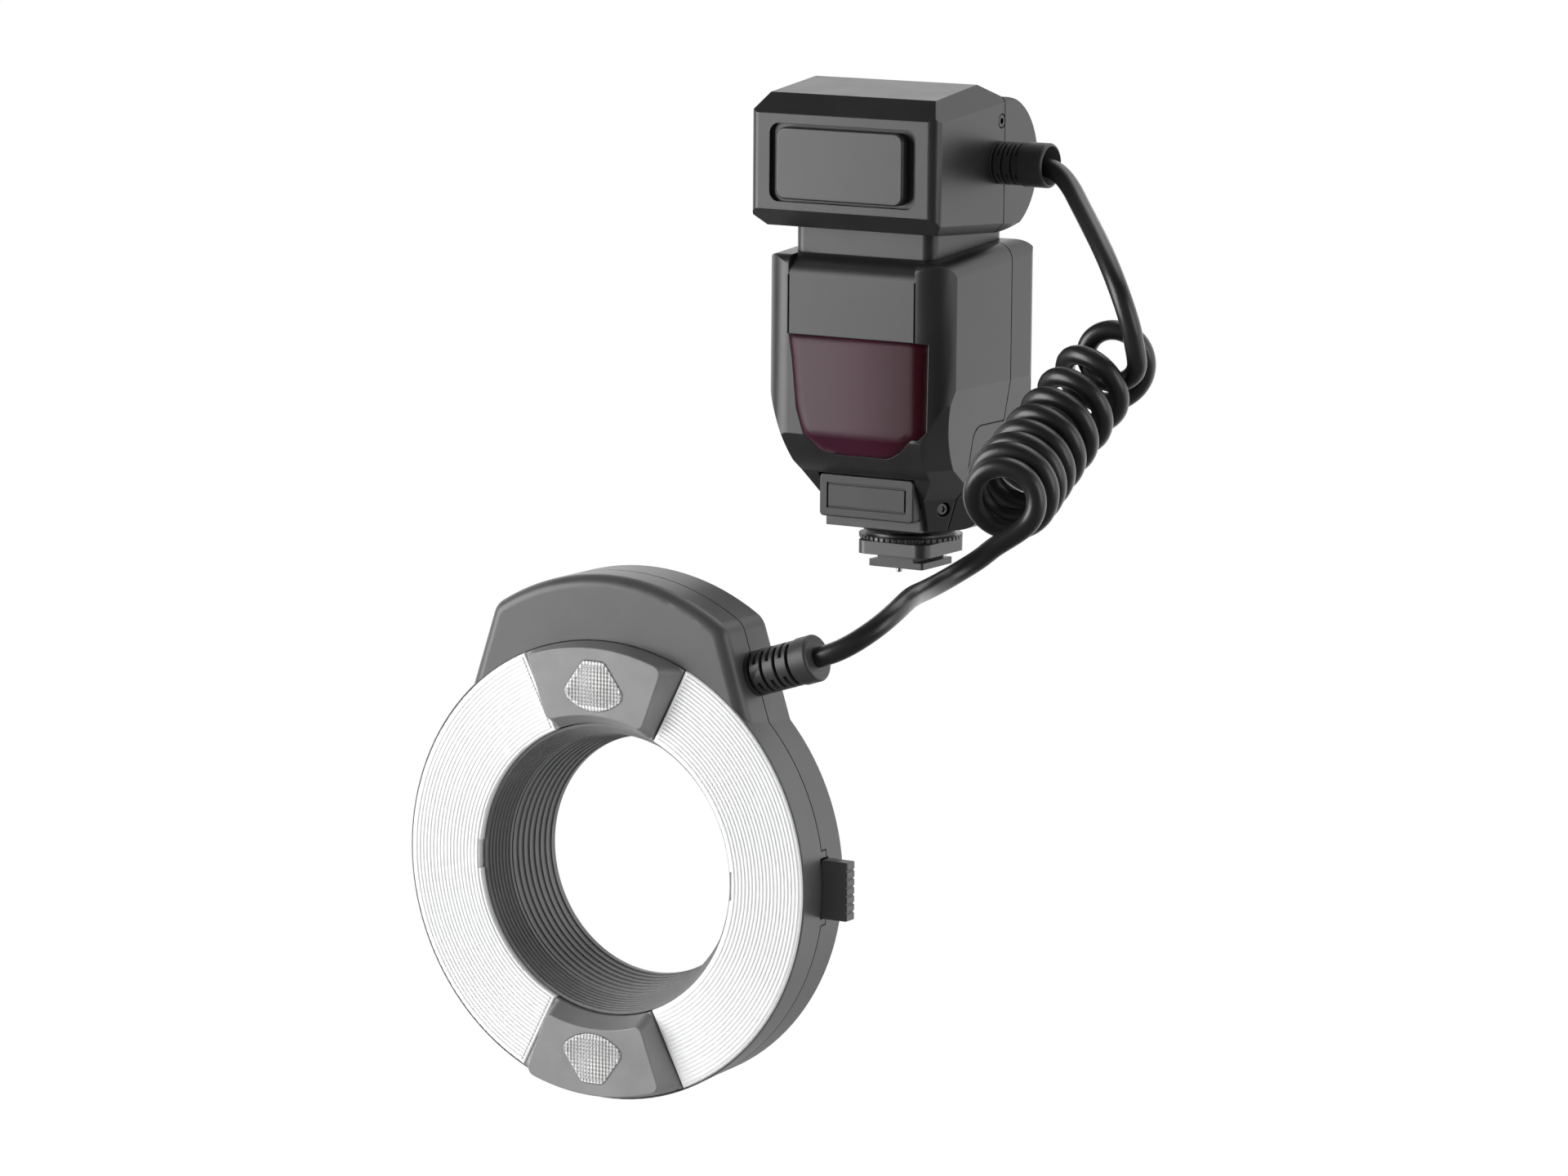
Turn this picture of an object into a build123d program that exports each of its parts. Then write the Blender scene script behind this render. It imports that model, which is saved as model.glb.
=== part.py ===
# A macro ring flash: a control unit that stands on a hot shoe, a ring shaped flash head
# that clips to a lens, and the coiled lead between them. The origin is the centre of the
# underside of the shoe foot, +X is the photographer's right seen from the front, -Y is the
# direction the flash points and +Z is up. Everything is in millimetres.
from build123d import *
from math import cos, degrees, pi, radians, sin, sqrt, tan
import os

# Clearances and overruns shared by every piece
fit_gap = 0.3           # between pieces that move past each other
seat_gap = 0.1          # round a piece that is glued or clipped in its pocket
overrun = 5.0           # how far a cutting tool reaches past what it cuts
seam_width = 0.4        # shadow gap where two shells meet
shell_wall = 2.2
reach = 200.0           # half length of the long blanks that are cut to shape

# Control unit body
body_half = 31.4
panel_y = -36.3         # front panel
back_y = 19.0
bottom_z = 13.5
top_front_z = 94.5
top_back_z = 99.0
top_rise = 0.0811       # slope of the body's top, toward the back
top_run = 0.9967
column_w = 10.0
panel_half = body_half - column_w   # centre panel between the two corner columns
crease_y = -23.0        # where a corner column ends on the side
column_bulge = 4.2      # height of the column's arc over its chord
back_corner_r = 4.0
back_top_r = 8.0
side_top_r = 3.0
taper_z = 62.0          # the body narrows below this height
seam_y = 3.5
seam_low_y = -13.9
seam_z = 45.2
seam_corner_r = 4.0

# Red window over the focus lamp and the wireless receiver
window_top_z = 71.5
window_bottom_z = 36.3
window_inset = 0.2
window_half = panel_half - window_inset
window_wrap = 4.4
window_wrap_x = window_half + window_wrap   # right edge, round the corner column
window_thick = 1.4
window_seat = 2.5

# Port cover, low on the front
port_half = 16.1
port_low_z = 16.7
port_high_z = 29.4
port_face_y = -26.5
port_back_y = -22.3
port_pin_r = 0.6
port_panel_inset = 2.6
port_panel_step = 0.5
jack_r = 1.75
usb_w = 7.0
usb_h = 3.1
socket_deep = 4.0

# Screws
screw_r = 2.1
screw_hex_r = 1.0
screw_deep = 1.2
front_screw_out = 24.4  # on the face of a lower corner: how far out along it, and aside
front_screw_aside = -3.6
front_screw_z = 20.2
head_screw_y = -4.4
head_screw_z = 134.5

# Profile of the body's chin, sides and corners
chin_top_z = 42.0
chin_mid_y = -33.0
chin_mid_z = 36.0
chin_low_y = -27.0
chin_low_z = 30.0
chin_hollow_y = -22.8
chin_hollow_z = 22.0
chin_back_y = -19.5
bottom_back_r = 6.0
column_top_r = 3.0
panel_round_z = 89.0    # where the centre panel starts to turn back to the neck
panel_groove = 0.5
waist_out = 0.8         # how far the taper's lines pass out of or into the body's width
waist_mid_in = 1.7
waist_low_in = 4.0
foot_in = 5.2
waist_half = body_half + waist_out
waist_mid_half = body_half - waist_mid_in
waist_mid_z = 47.5
waist_low_half = body_half - waist_low_in
waist_low_z = 33.0
foot_half = body_half - foot_in
bottom_side_r = 4.0
shoulder_r = 5.0        # the body's long top edges
corner_x = 0.855        # the two lower front corners are drawn in along this direction
corner_y = -0.518
corner_points = [(24.8, 13.5), (27.2, 23.2), (35.4, 33.2), (39.3, 42.0), (42.9, 60.0)]

# Neck between body and head
neck_in = 7.7
neck_half = body_half - neck_in
neck_front_y = -30.0
neck_back_y = 12.0
neck_r = 3.5
neck_low_z = 90.0
neck_high_z = 106.0
neck_wall = 2.0
duct_half = 12.0        # cable duct through head, neck and body
duct_front_y = -20.0
duct_back_y = 2.0

# Head of the control unit
head_out = 0.3
head_half = body_half + head_out
head_front_y = -42.3
head_low_z = 108.5
head_high_z = 136.6
head_bevel_y = -36.5
head_bevel_top_z = 142.3
head_bevel_low_z = 103.2
head_top_y = -11.8
head_top_z = 145.4
barrel_y = -2.5
barrel_z = 121.4
barrel_r = 20.0
head_corner_r = 3.2
facet_front_in = 3.9
facet_back_in = 0.9
facet_front_x = head_half - facet_front_in   # top edge half width at the front
facet_back_x = head_half - facet_back_in
side_edge_front_z = 136.5
side_edge_back_z = 139.9
low_facet = 3.0
head_seam_y = -2.6
recess_in = 7.1
recess_half = head_half - recess_in
recess_low_z = 110.9
recess_high_z = 133.8
recess_r = 3.0
recess_deep = 1.5
plate_in = 3.2
plate_half = recess_half - plate_in
plate_gap = 0.9         # above and below the raised plate
plate_proud = 1.8

# Shoe foot and its clamp
foot_w = 18.6
foot_l = 18.0
foot_t = 2.0
stem_w = 12.3
rail_z = 4.0            # underside of the clamp plate
clamp_w = 24.3
clamp_l = 25.0
clamp_t = 4.4
clamp_r = 3.5
clamp_rise = 0.6        # room left over the wheel
post_r = 6.0
post_gap = 0.1
wheel_r = 15.5
wheel_rim_t = 1.1
wheel_t = 1.9
wheel_hub_r = 13.4
wheel_gap = 0.1
wheel_notches = 48
wheel_notch_r = 0.5
pedestal_low_r = 14.6
pedestal_high_r = 16.4
pin_r = 1.0
pin_y = -6.6
pin_out = 1.4
pin_top_z = 2.4
contact_r = 0.8
contact_out = 0.4
contact_travel = 0.5
contact_top_z = 1.2
contact_shares = [(0.0, 0.0), (-0.25, 0.19), (0.25, 0.19), (-0.25, -0.14), (0.25, -0.14)]

# Batteries, the frame that holds them and the door on the left side
cell_r = 7.25
cell_l = 50.5
cell_nub_r = 2.7
cell_nub_l = 1.2
cell_pitch = 14.9
cell_gap = 0.3
cells_y = -5.95         # middle of the four cells
cells_z = 62.95
frame_wall = 1.3
frame_left_in = 5.4
frame_right_in = 3.0
frame_left_x = frame_left_in - body_half
frame_right_x = body_half - frame_right_in
frame_end = 1.2
door_front_y = -22.6
door_low_z = 45.4
door_high_z = 81.0
door_thick = 2.0
door_slide = 3.0
door_grip_ribs = 5
door_grip_w = 9.0
door_grip_pitch = 2.0
door_grip_t = 0.8
hinge_y = 11.5
hinge_r = 1.3
hinge_pin_r = 0.75
hinge_pin_gap = 0.08
hinge_boss = 3.4
hinge_boss_l = 8.0
hinge_low_l = 4.0       # the lower boss, just above the body's taper
barrel_low_z = 67.0     # the door's barrel stops here, so that the lower boss lies in the full wall
barrel_back = 2.8       # how far the door's plain back edge stays from the hinge line
contact_plate_t = 0.4
contact_bump_r = 2.8

# Electronics inside the unit
board_t = 1.6
board_in = 4.9
board_half = body_half - board_in
board_low_z = 24.0
board_high_z = 89.0
cap_r = 11.0
cap_l = 44.0
cap_y = -2.0
cap_z = 31.5
cap_rib_x = 14.0
cap_rib_t = 2.0
cap_rib_half = 8.0
lamp_half = 12.0
lamp_low_z = 47.0
lamp_high_z = 63.0
lamp_front_y = -29.5
lamp_lens_r = 4.2
lamp_lens_l = 2.6
lamp_lens_x = 6.0
head_board_z = 108.0
head_board_in = 5.7
head_board_half = head_half - head_board_in
transformer_w = 16.0
transformer_l = 14.0
transformer_h = 12.0

# Rear controls
lcd_in = 8.9
lcd_half = body_half - lcd_in
lcd_low_z = 61.5
lcd_high_z = 87.5
lcd_r = 2.0
lcd_thick = 1.2
lcd_frame = 2.5
key_w = 9.5
key_h = 4.4
key_z = 55.0
key_pitch = 15.0
key_count = 3
key_proud = 0.9
key_travel = 0.8
key_flange = 0.8
key_flange_t = 1.0
key_stem_r = 1.6
dial_z = 36.0
dial_r = 13.0
dial_bore_r = 6.2
dial_hub_r = 7.6
dial_proud = 2.4
dial_recess = 1.2
dial_ridges = 36
dial_ridge_r = 0.45
set_r = 5.8
switch_in = 10.9
switch_x = body_half - switch_in
switch_w = 4.0
switch_h = 6.0
switch_travel = 4.0
switch_proud = 1.3
test_r = 3.2

# Ring head
ring_z = -64.3
ring_r = 65.0
ring_seam_r = 64.35
ring_back_r = 64.0
ring_front_y = -168.0
ring_seam_y = -156.8
ring_back_y = -145.9
ring_wall = 2.0
bore_wall_r = 41.4      # inner wall of the ring's two shells
bore_wall_t = 1.6
hood_r = 68.0
hood_rise = 14.7        # centre of the hood's arc over the ring's centre
hood_root_z = 46.0      # where the hood's sides leave the ring
hood_root_half = 45.9
hood_lean = 18.0
hood_corner_r = 6.0
hood_edge_r = 3.4
hood_foot_z = 30.0
ledge_w = 2.4
ledge_t = 1.5

# Flash windows, tubes and reflectors
diffuser_in_r = 41.2
diffuser_out_r = 64.5
diffuser_in_x = 16.0
diffuser_out_x = 26.5
diffuser_t = 3.0
diffuser_proud = 0.5
notch_half = 4.0
notch_deep = 0.4
tube_path_r = 53.0
tube_r = 2.2
tube_half_angle = 58.0
tube_cap_l = 4.0
tube_cap_r = 2.8
reflector_in_r = 44.6
reflector_out_r = 61.4
reflector_deep = 6.2
reflector_t = 0.8
reflector_half_angle = 62.0

# Modelling lamps in the raised blocks
block_in_r = 41.4
block_out_r = 64.4
block_gap = 0.4         # between a block and the windows beside it
block_rise = 5.5
block_face_in_r = 44.3
block_face_out_r = 63.3
block_face_in_x = 15.5
block_face_out_x = 22.0
block_face_r = 2.5
lens_top_z = 59.8
lens_top_half = 3.5
lens_wide_z = 50.5
lens_wide_half = 10.3
lens_low_z = 45.6
lens_r = 2.7
lens_t = 2.6
lens_proud = 0.4
lens_seat = 1.0
led_board_t = 1.2
led_r = 2.4
led_h = 1.4

# Release buttons and the sliding claw rings behind them
button_half = 8.2
button_out_x = 72.3
button_left_x = 70.6    # the left button stands out less
button_in_x = 64.0
button_front_y = -157.6
button_back_y = -153.7
button_travel = 2.5
button_ribs = 6
button_rib_r = 0.35
button_tab_half = 10.5
button_tab_y = -154.3
slider_in_r = 45.8
slider_out_r = 49.8
slider_t = 1.3
slider_first_y = -153.8
slider_pitch = 1.7
slider_stem_half = 5.0
claw_half = 4.0
claw_r = 40.2

# Lens tunnel and adapter ring
liner_out_r = 41.1
liner_front_y = -166.8
liner_back_y = -158.8
liner_in_r = 40.2
liner_steps = 7
liner_step = 0.45
adapter_r = 41.0
adapter_front_y = -158.4
adapter_groove_r = 39.5
groove_front_y = -157.2
groove_back_y = -153.4
adapter_back_y = -144.9
adapter_bore_r = 34.0
adapter_mouth_r = 36.9   # its bore narrows from here in steps, like the tunnel in front of it
adapter_steps = 7
thread_r = 36.0
thread_l = 4.0

# Trigger board in the hood and screws in the ring's back
trigger_half = 26.0
trigger_low_z = 66.5
trigger_high_z = 75.0
trigger_y = -153.0
ring_screw_r = 2.0
ring_screw_path_r = 57.0
ring_screw_angles = [35.0, 145.0, 215.0, 325.0]

# Lead and its strain reliefs
cord_d = 5.8
bend_share = 0.45       # share of the shorter run that a bend takes up
boot_r = 6.3
boot_collar_r = 6.6
boot_collar_l = 8.0
boot_neck_r = 4.6
head_boot_y = -5.5
head_boot_z = 122.4
head_boot_l = 17.3
head_boot_end_x = head_half + head_boot_l
head_boot_mouth = 7.0    # depth of the flared mouth that the lead leaves through
head_boot_slots = 6
head_boot_pitch = 1.5
ring_boot_rise = 57.8   # root of the lead over the ring's centre
ring_boot_l = 20.8
ring_boot_collar_l = 4.8
ring_boot_slots = 7
ring_boot_pitch = 2.15
boot_slot_deep = 1.7
boot_slot_share = 0.46
boot_bridge = 50.0      # degrees of material left between two slots of a rib

# Route of the lead from the head's boot to the coil, and from the coil to the ring's boot
upper_route = [(head_boot_end_x - head_boot_mouth, -5.5, 122.4), (45.2, -5.5, 122.4),
               (49.0, -6.0, 121.8), (53.4, -7.3, 120.2), (58.5, -10.4, 116.8), (64.2, -15.6, 112.6),
               (70.6, -21.8, 108.5), (77.0, -28.1, 104.4), (82.9, -33.9, 100.2), (87.7, -38.1, 95.6),
               (91.2, -40.2, 90.6), (93.4, -40.5, 85.6)]
lower_route = [(79.1, -97.8, 21.2), (75.6, -101.4, 18.3), (72.9, -106.9, 15.7), (72.0, -115.0, 14.1),
               (73.6, -124.1, 14.1), (76.4, -133.3, 14.1), (78.2, -142.1, 12.5), (76.7, -149.1, 9.0),
               (72.9, -153.8, 5.3), (69.1, -155.9, 2.8)]
run_in = 3.7            # straight run of the lead where it meets the coil and the ring's boot

# Coil of the lead: turns about an axis that runs down and forward, opening towards the viewer
coil_turns = 9.18
coil_stations = 37      # one for each quarter turn
coil_azimuth = 31.194   # the way the coil's turns face
coil_elevation = 9.110
coil_roll = 0.475
coil_run_across = -0.62
coil_run_down = -0.785
coil_base = (80.46, -28.0, 68.32)
coil_step = 10.3        # advance of a turn, less as the turns close up
coil_close = 0.40
coil_toward = 4.7
coil_toward_rise = 0.014
coil_r = 9.9
coil_r_growth = 0.2
coil_end_draw = 2.3     # how much smaller the last turn is
coil_start_draw = 3.8
coil_aside = 1.6        # first turn: aside, nearer the viewer, then back behind the second
coil_lift = 9.0
coil_sink = 2.0
coil_tilt = 34.0
coil_tilt_rise = 0.55
coil_tilt_curve = 0.35
coil_tilt_start = 24.0
coil_phase = 135.0
coil_hold = 0.9         # turns: the first ones advance no more than this share of a turn
coil_hold_end = 1.5
coil_hold_span = 1.0
coil_start_turn = 0.875
coil_lift_span = 0.75
coil_sink_turn = 1.25
coil_sink_span = 0.55
coil_end_turn = 7.9
coil_start_span = 0.6
coil_aside_end = 1.6
coil_aside_span = 0.8
coil_tilt_end = 1.8
coil_tilt_span = 0.7
coil_samples = 24       # points on each arc for the least gap

os.makedirs("parts", exist_ok=True)


def save(name, shape):
    shape.label = name
    export_step(shape, f"parts/{name}.step")


def facing(y):
    """Sketch plane at depth y, seen from the front: X to the right, Z up."""
    return Plane.XZ.offset(-y)


def ring_plane(y):
    """As facing, with its origin on the axis of the ring head."""
    return Plane(origin=(0, y, ring_z), x_dir=(1, 0, 0), z_dir=(0, -1, 0))


ring_axis = Axis((0, 0, ring_z), (0, 1, 0))


def ring_band(r_in, r_out, back, front):
    """Annulus about the ring's axis between two depths."""
    with BuildPart() as band:
        with BuildSketch(ring_plane(back)):
            Circle(r_out)
            if r_in > 0:
                Circle(r_in, mode=Mode.SUBTRACT)
        extrude(amount=back - front)
    return band.part


def block(x0, x1, y0, y1, z0, z1):
    """Box between two corners."""
    with BuildPart() as box:
        with BuildSketch(Plane.XY.offset(z0)):
            with Locations(((x0 + x1) / 2, (y0 + y1) / 2)):
                Rectangle(x1 - x0, y1 - y0)
        extrude(amount=z1 - z0)
    return box.part


def rod(center, direction, radius, length):
    """Round bar from a centre along a direction."""
    with BuildPart() as bar:
        with BuildSketch(Plane(origin=center, z_dir=direction)):
            Circle(radius)
        extrude(amount=length)
    return bar.part


def drawn(draw_outline, plane, amount):
    """Prism of an outline from a plane."""
    with BuildPart() as prism:
        with BuildSketch(plane):
            add(draw_outline)
        extrude(amount=amount)
    return prism.part


def middle_of_arc(start, end, bulge):
    """Point at the top of an arc that stands bulge over the chord, to the chord's right."""
    dx = end[0] - start[0]
    dy = end[1] - start[1]
    chord = sqrt(dx * dx + dy * dy)
    return ((start[0] + end[0]) / 2 + bulge * dy / chord, (start[1] + end[1]) / 2 - bulge * dx / chord)


def body_side():
    """The body seen from the right: depth across, height up."""
    with BuildSketch() as side:
        with BuildLine():
            Polyline((panel_y, chin_top_z), (panel_y, top_front_z), (back_y, top_back_z),
                     (back_y, bottom_z), (chin_back_y, bottom_z))
            ThreePointArc((chin_back_y, bottom_z), (chin_hollow_y, chin_hollow_z), (chin_low_y, chin_low_z))
            ThreePointArc((chin_low_y, chin_low_z), (chin_mid_y, chin_mid_z), (panel_y, chin_top_z))
        make_face()
        fillet(side.vertices().sort_by_distance((panel_y, top_front_z))[0], column_top_r)
        fillet(side.vertices().sort_by_distance((back_y, top_back_z))[0], back_top_r)
        fillet(side.vertices().sort_by_distance((back_y, bottom_z))[0], bottom_back_r)
    return side.sketch_local


def body_plan():
    """The body seen from above, with the arcs of the two corner columns."""
    with BuildSketch() as plan:
        with BuildLine():
            Line((-panel_half, panel_y), (panel_half, panel_y))
            Line((-body_half, back_y), (body_half, back_y))
            for side in (-1, 1):
                start = (panel_half, panel_y)
                end = (body_half, crease_y)
                top = middle_of_arc(start, end, column_bulge)
                ThreePointArc((side * start[0], start[1]), (side * top[0], top[1]), (side * end[0], end[1]))
                Line((side * body_half, crease_y), (side * body_half, back_y))
        make_face()
        fillet(plan.vertices().group_by(Axis.Y)[-1], back_corner_r)
    return plan.sketch_local


def body_front():
    """The body seen from the front: the taper below the waist."""
    with BuildSketch() as front:
        with BuildLine():
            Line((-waist_half, taper_z), (-waist_half, neck_high_z))
            Line((-waist_half, neck_high_z), (waist_half, neck_high_z))
            Line((waist_half, neck_high_z), (waist_half, taper_z))
            Line((-foot_half, bottom_z), (foot_half, bottom_z))
            for side in (-1, 1):
                ThreePointArc((side * waist_half, taper_z), (side * waist_mid_half, waist_mid_z),
                              (side * waist_low_half, waist_low_z))
                Line((side * waist_low_half, waist_low_z), (side * foot_half, bottom_z))
        make_face()
        fillet(front.vertices().group_by(Axis.Y)[0], bottom_side_r)
    return front.sketch_local


def corner_outline(inset):
    """The body below its waist, seen along the face of a lower front corner."""
    low, bend, knee, middle, high = corner_points
    with BuildSketch() as corner:
        with BuildLine():
            Polyline(low, bend, knee)
            ThreePointArc(knee, middle, high)
            Polyline(high, (high[0], reach), (-reach, reach), (-reach, low[1] - overrun),
                     (low[0], low[1] - overrun), low)
        make_face()
        if inset:
            offset(amount=-inset, kind=Kind.INTERSECTION)
    return corner.sketch_local


def shoulder_outline(inset):
    """The body seen along its sloping top, with the round of the two long top edges."""
    top_v = Vector(0, panel_y, top_front_z).dot(Vector(0, -top_rise, top_run))
    with BuildSketch() as shoulder:
        with BuildLine():
            Polyline((-body_half, -reach), (-body_half, top_v), (body_half, top_v), (body_half, -reach),
                     close=True)
        make_face()
        fillet(shoulder.vertices().group_by(Axis.Y)[-1], shoulder_r)
        if inset:
            offset(amount=-inset, kind=Kind.INTERSECTION)
    return shoulder.sketch_local


def body_form(inset):
    """Solid inside the body's outside, drawn in by inset all round."""
    across = [(corner_outline, Plane(origin=(0, 0, 0), x_dir=(side * corner_x, corner_y, 0),
                                     z_dir=(corner_y, -side * corner_x, 0))) for side in (-1, 1)]
    across.append((shoulder_outline, Plane(origin=(0, 0, 0), x_dir=(1, 0, 0), z_dir=(0, -top_run, -top_rise))))
    with BuildPart() as form:
        with BuildSketch(Plane.YZ.offset(-reach)):
            add(body_side())
            if inset:
                offset(amount=-inset, kind=Kind.INTERSECTION)
        extrude(amount=2 * reach)
        with BuildSketch(facing(reach)):
            add(body_front())
            if inset:
                offset(amount=-inset, kind=Kind.INTERSECTION)
        extrude(amount=2 * reach, mode=Mode.INTERSECT)
        with BuildSketch(Plane.XY):
            add(body_plan())
            if inset:
                offset(amount=-inset, kind=Kind.INTERSECTION)
        extrude(amount=reach, mode=Mode.INTERSECT)
        for outline, plane in across:
            with BuildSketch(plane.offset(-reach)):
                add(outline(inset))
            extrude(amount=2 * reach, mode=Mode.INTERSECT)
    return form.part


def step_outline(y_low, y_high, z_step):
    """Everything in front of the side seam, which steps forward below its shelf."""
    with BuildSketch() as zone:
        with BuildLine():
            Polyline((-reach, 0), (y_low, 0), (y_low, z_step), (y_high, z_step),
                     (y_high, reach), (-reach, reach), close=True)
        make_face()
        fillet(zone.vertices().sort_by_distance((y_low, z_step))[0], seam_corner_r)
    return zone.sketch_local


def body_seam_zone():
    return drawn(step_outline(seam_low_y, seam_y, seam_z), Plane.YZ.offset(-reach), 2 * reach)


def body_seam_groove():
    """Narrow band along the seam, for the shadow gap."""
    with BuildPart() as groove:
        with BuildSketch(Plane.YZ.offset(-reach)):
            add(step_outline(seam_low_y + seam_width / 2, seam_y + seam_width / 2, seam_z - seam_width / 2))
            add(step_outline(seam_low_y - seam_width / 2, seam_y - seam_width / 2, seam_z + seam_width / 2),
                mode=Mode.SUBTRACT)
        extrude(amount=2 * reach)
        with BuildSketch(Plane.XY.offset(-reach)):
            Rectangle(2 * reach, 2 * (back_y + overrun))
        extrude(amount=2 * reach, mode=Mode.INTERSECT)
        add(body_form(seam_width), mode=Mode.SUBTRACT)
    return groove.part


def panel_round():
    """What is cut off the centre panel's top, between the columns."""
    top_z = top_front_z + (top_back_z - top_front_z) * (neck_front_y - panel_y) / (back_y - panel_y)
    bend = middle_of_arc((panel_y, panel_round_z), (neck_front_y, top_z), -panel_groove * 3)
    with BuildSketch() as corner:
        with BuildLine():
            ThreePointArc((panel_y, panel_round_z), bend, (neck_front_y, top_z))
            Polyline((neck_front_y, top_z), (neck_front_y, top_z + overrun),
                     (panel_y - overrun, top_z + overrun), (panel_y - overrun, panel_round_z),
                     (panel_y, panel_round_z))
        make_face()
    return drawn(corner.sketch_local, Plane.YZ.offset(-panel_half), 2 * panel_half)


def window_outline(shrink):
    """The red window seen from the front: it turns the right corner and tapers on the left."""
    height = window_top_z - window_bottom_z
    with BuildSketch() as glass:
        with BuildLine():
            points = [(x * window_half, window_bottom_z + z * height) for x, z in window_shares]
            Polyline(*points, close=True)
        make_face()
        fillet(glass.vertices().group_by(Axis.Y)[0], window_half / 4)
        with BuildLine():
            wrap = [(x * window_wrap_x, window_bottom_z + z * height) for x, z in wrap_shares]
            Polyline(*wrap, close=True)
        make_face()
        if shrink:
            offset(amount=-shrink, kind=Kind.INTERSECTION)
    return glass.sketch_local


window_shares = [(-1.0, 1.0), (1.0, 1.0), (1.0, 0.2), (0.76, 0.07), (0.53, 0.0), (-0.30, 0.0),
                 (-0.53, 0.026), (-0.76, 0.173), (-0.87, 0.375), (-0.943, 0.787)]
wrap_shares = [(0.80, 1.0), (1.0, 0.99), (0.99, 0.26), (0.90, 0.19), (0.80, 0.19)]


def window_prism(shrink):
    return drawn(window_outline(shrink), facing(crease_y), reach)


def af_window():
    with BuildPart() as window:
        add(body_form(0))
        add(window_prism(seat_gap), mode=Mode.INTERSECT)
        add(body_form(window_thick), mode=Mode.SUBTRACT)
    return window.part


def door_hole():
    """Opening in the left wall: the door, room for it to slide down and its hinge."""
    inner_x = -body_half + shell_wall + overrun
    edge_y = hinge_y - barrel_back + fit_gap
    barrel_z = barrel_low_z - door_slide - fit_gap
    with BuildPart() as hole:
        add(block(-body_half - overrun, inner_x, door_front_y - fit_gap, edge_y,
                  door_low_z - door_slide - fit_gap, door_high_z + fit_gap))
        add(block(-body_half - overrun, inner_x, edge_y - fit_gap, hinge_y, barrel_z, door_high_z + fit_gap))
        add(rod((-body_half + hinge_r, hinge_y, barrel_z), (0, 0, 1), sqrt(2) * hinge_r + fit_gap,
                door_high_z + fit_gap - barrel_z))
    return hole.part


def hinge_bosses():
    """Two blocks inside the left wall that hold the ends of the door's pin."""
    outer_x = -body_half + shell_wall / 4
    low_z = barrel_low_z - door_slide - 2 * fit_gap
    high_z = door_high_z + 2 * fit_gap
    with BuildPart() as bosses:
        for z0, z1 in ((low_z - hinge_low_l, low_z), (high_z, high_z + hinge_boss_l)):
            add(block(outer_x, outer_x + hinge_boss, hinge_y - hinge_boss / 2, hinge_y + hinge_boss / 2, z0, z1))
    return bosses.part


def pin_bore_z():
    """Height where the pin's bore ends, below the lower boss."""
    return barrel_low_z - door_slide - 2 * fit_gap - hinge_low_l - door_slide / 3


def hinge_pin_bore():
    low_z = pin_bore_z()
    return rod((-body_half + hinge_r, hinge_y, low_z), (0, 0, 1), hinge_pin_r + hinge_pin_gap,
               door_high_z + hinge_boss_l - low_z)


def port_pocket():
    return block(-port_half - fit_gap, port_half + fit_gap, panel_y - overrun, port_back_y,
                 port_low_z - fit_gap, port_high_z + fit_gap)


def body_hollow():
    """Body outside less its inside, before it is parted into a front and a back."""
    with BuildPart() as shell:
        add(body_form(0))
        add(panel_round(), mode=Mode.SUBTRACT)
        add(body_form(shell_wall), mode=Mode.SUBTRACT)
        add(block(-port_half, port_half, port_back_y, chin_back_y + shell_wall,
                  bottom_z, port_high_z + shell_wall))
        add(port_pocket(), mode=Mode.SUBTRACT)
        add(block(-duct_half, duct_half, duct_front_y, duct_back_y, neck_low_z, neck_high_z),
            mode=Mode.SUBTRACT)
        add(door_hole(), mode=Mode.SUBTRACT)
        add(body_seam_groove(), mode=Mode.SUBTRACT)
    return shell.part


def body_front_shell(hollow, zone):
    pocket = window_prism(0) - body_form(window_thick)
    opening = window_prism(window_seat) & block(-body_half, body_half, panel_y - overrun,
                                                crease_y - shell_wall, bottom_z, top_front_z)
    with BuildPart() as shell:
        add(hollow)
        add(zone, mode=Mode.INTERSECT)
        add(pocket, mode=Mode.SUBTRACT)
        add(opening, mode=Mode.SUBTRACT)
        for side in (-1, 1):
            add(block(side * panel_half - panel_groove / 2, side * panel_half + panel_groove / 2,
                      panel_y - overrun, panel_y + panel_groove, window_top_z, panel_round_z),
                mode=Mode.SUBTRACT)
        add(socket_holes(), mode=Mode.SUBTRACT)
        for side in (-1, 1):
            add(front_screw_seat(side), mode=Mode.SUBTRACT)
    return shell.part


def front_screw_place(side):
    """Foot of a front screw, in the face of a lower corner."""
    return (side * (front_screw_out * corner_x - front_screw_aside * corner_y),
            front_screw_out * corner_y + front_screw_aside * corner_x, front_screw_z)


def front_screw_seat(side):
    return rod(front_screw_place(side), (side * corner_x, corner_y, 0), screw_r + seat_gap, overrun)


def socket_holes():
    """Mouths of the sync jack and the data socket, behind the port cover."""
    middle_z = (port_low_z + port_high_z) / 2
    with BuildPart() as holes:
        with BuildSketch(facing(port_back_y - overrun)):
            with Locations((-port_half / 2, middle_z)):
                Circle(jack_r)
            with Locations((port_half / 2, middle_z)):
                Rectangle(usb_w, usb_h)
        extrude(amount=-overrun - shell_wall - socket_deep)
    return holes.part


def screw_head(center, direction):
    """Domed screw with a hexagon socket, its head seated in a round recess."""
    with BuildPart() as screw:
        with BuildSketch(Plane(origin=center, z_dir=direction)):
            Circle(screw_r)
        extrude(amount=screw_deep)
        fillet(screw.edges().filter_by(GeomType.CIRCLE).sort_by_distance(center)[-1], screw_deep / 2)
        with BuildSketch(Plane(origin=center, z_dir=direction).offset(screw_deep / 2)):
            RegularPolygon(screw_hex_r, 6)
        extrude(amount=overrun, mode=Mode.SUBTRACT)
    return screw.part


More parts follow.
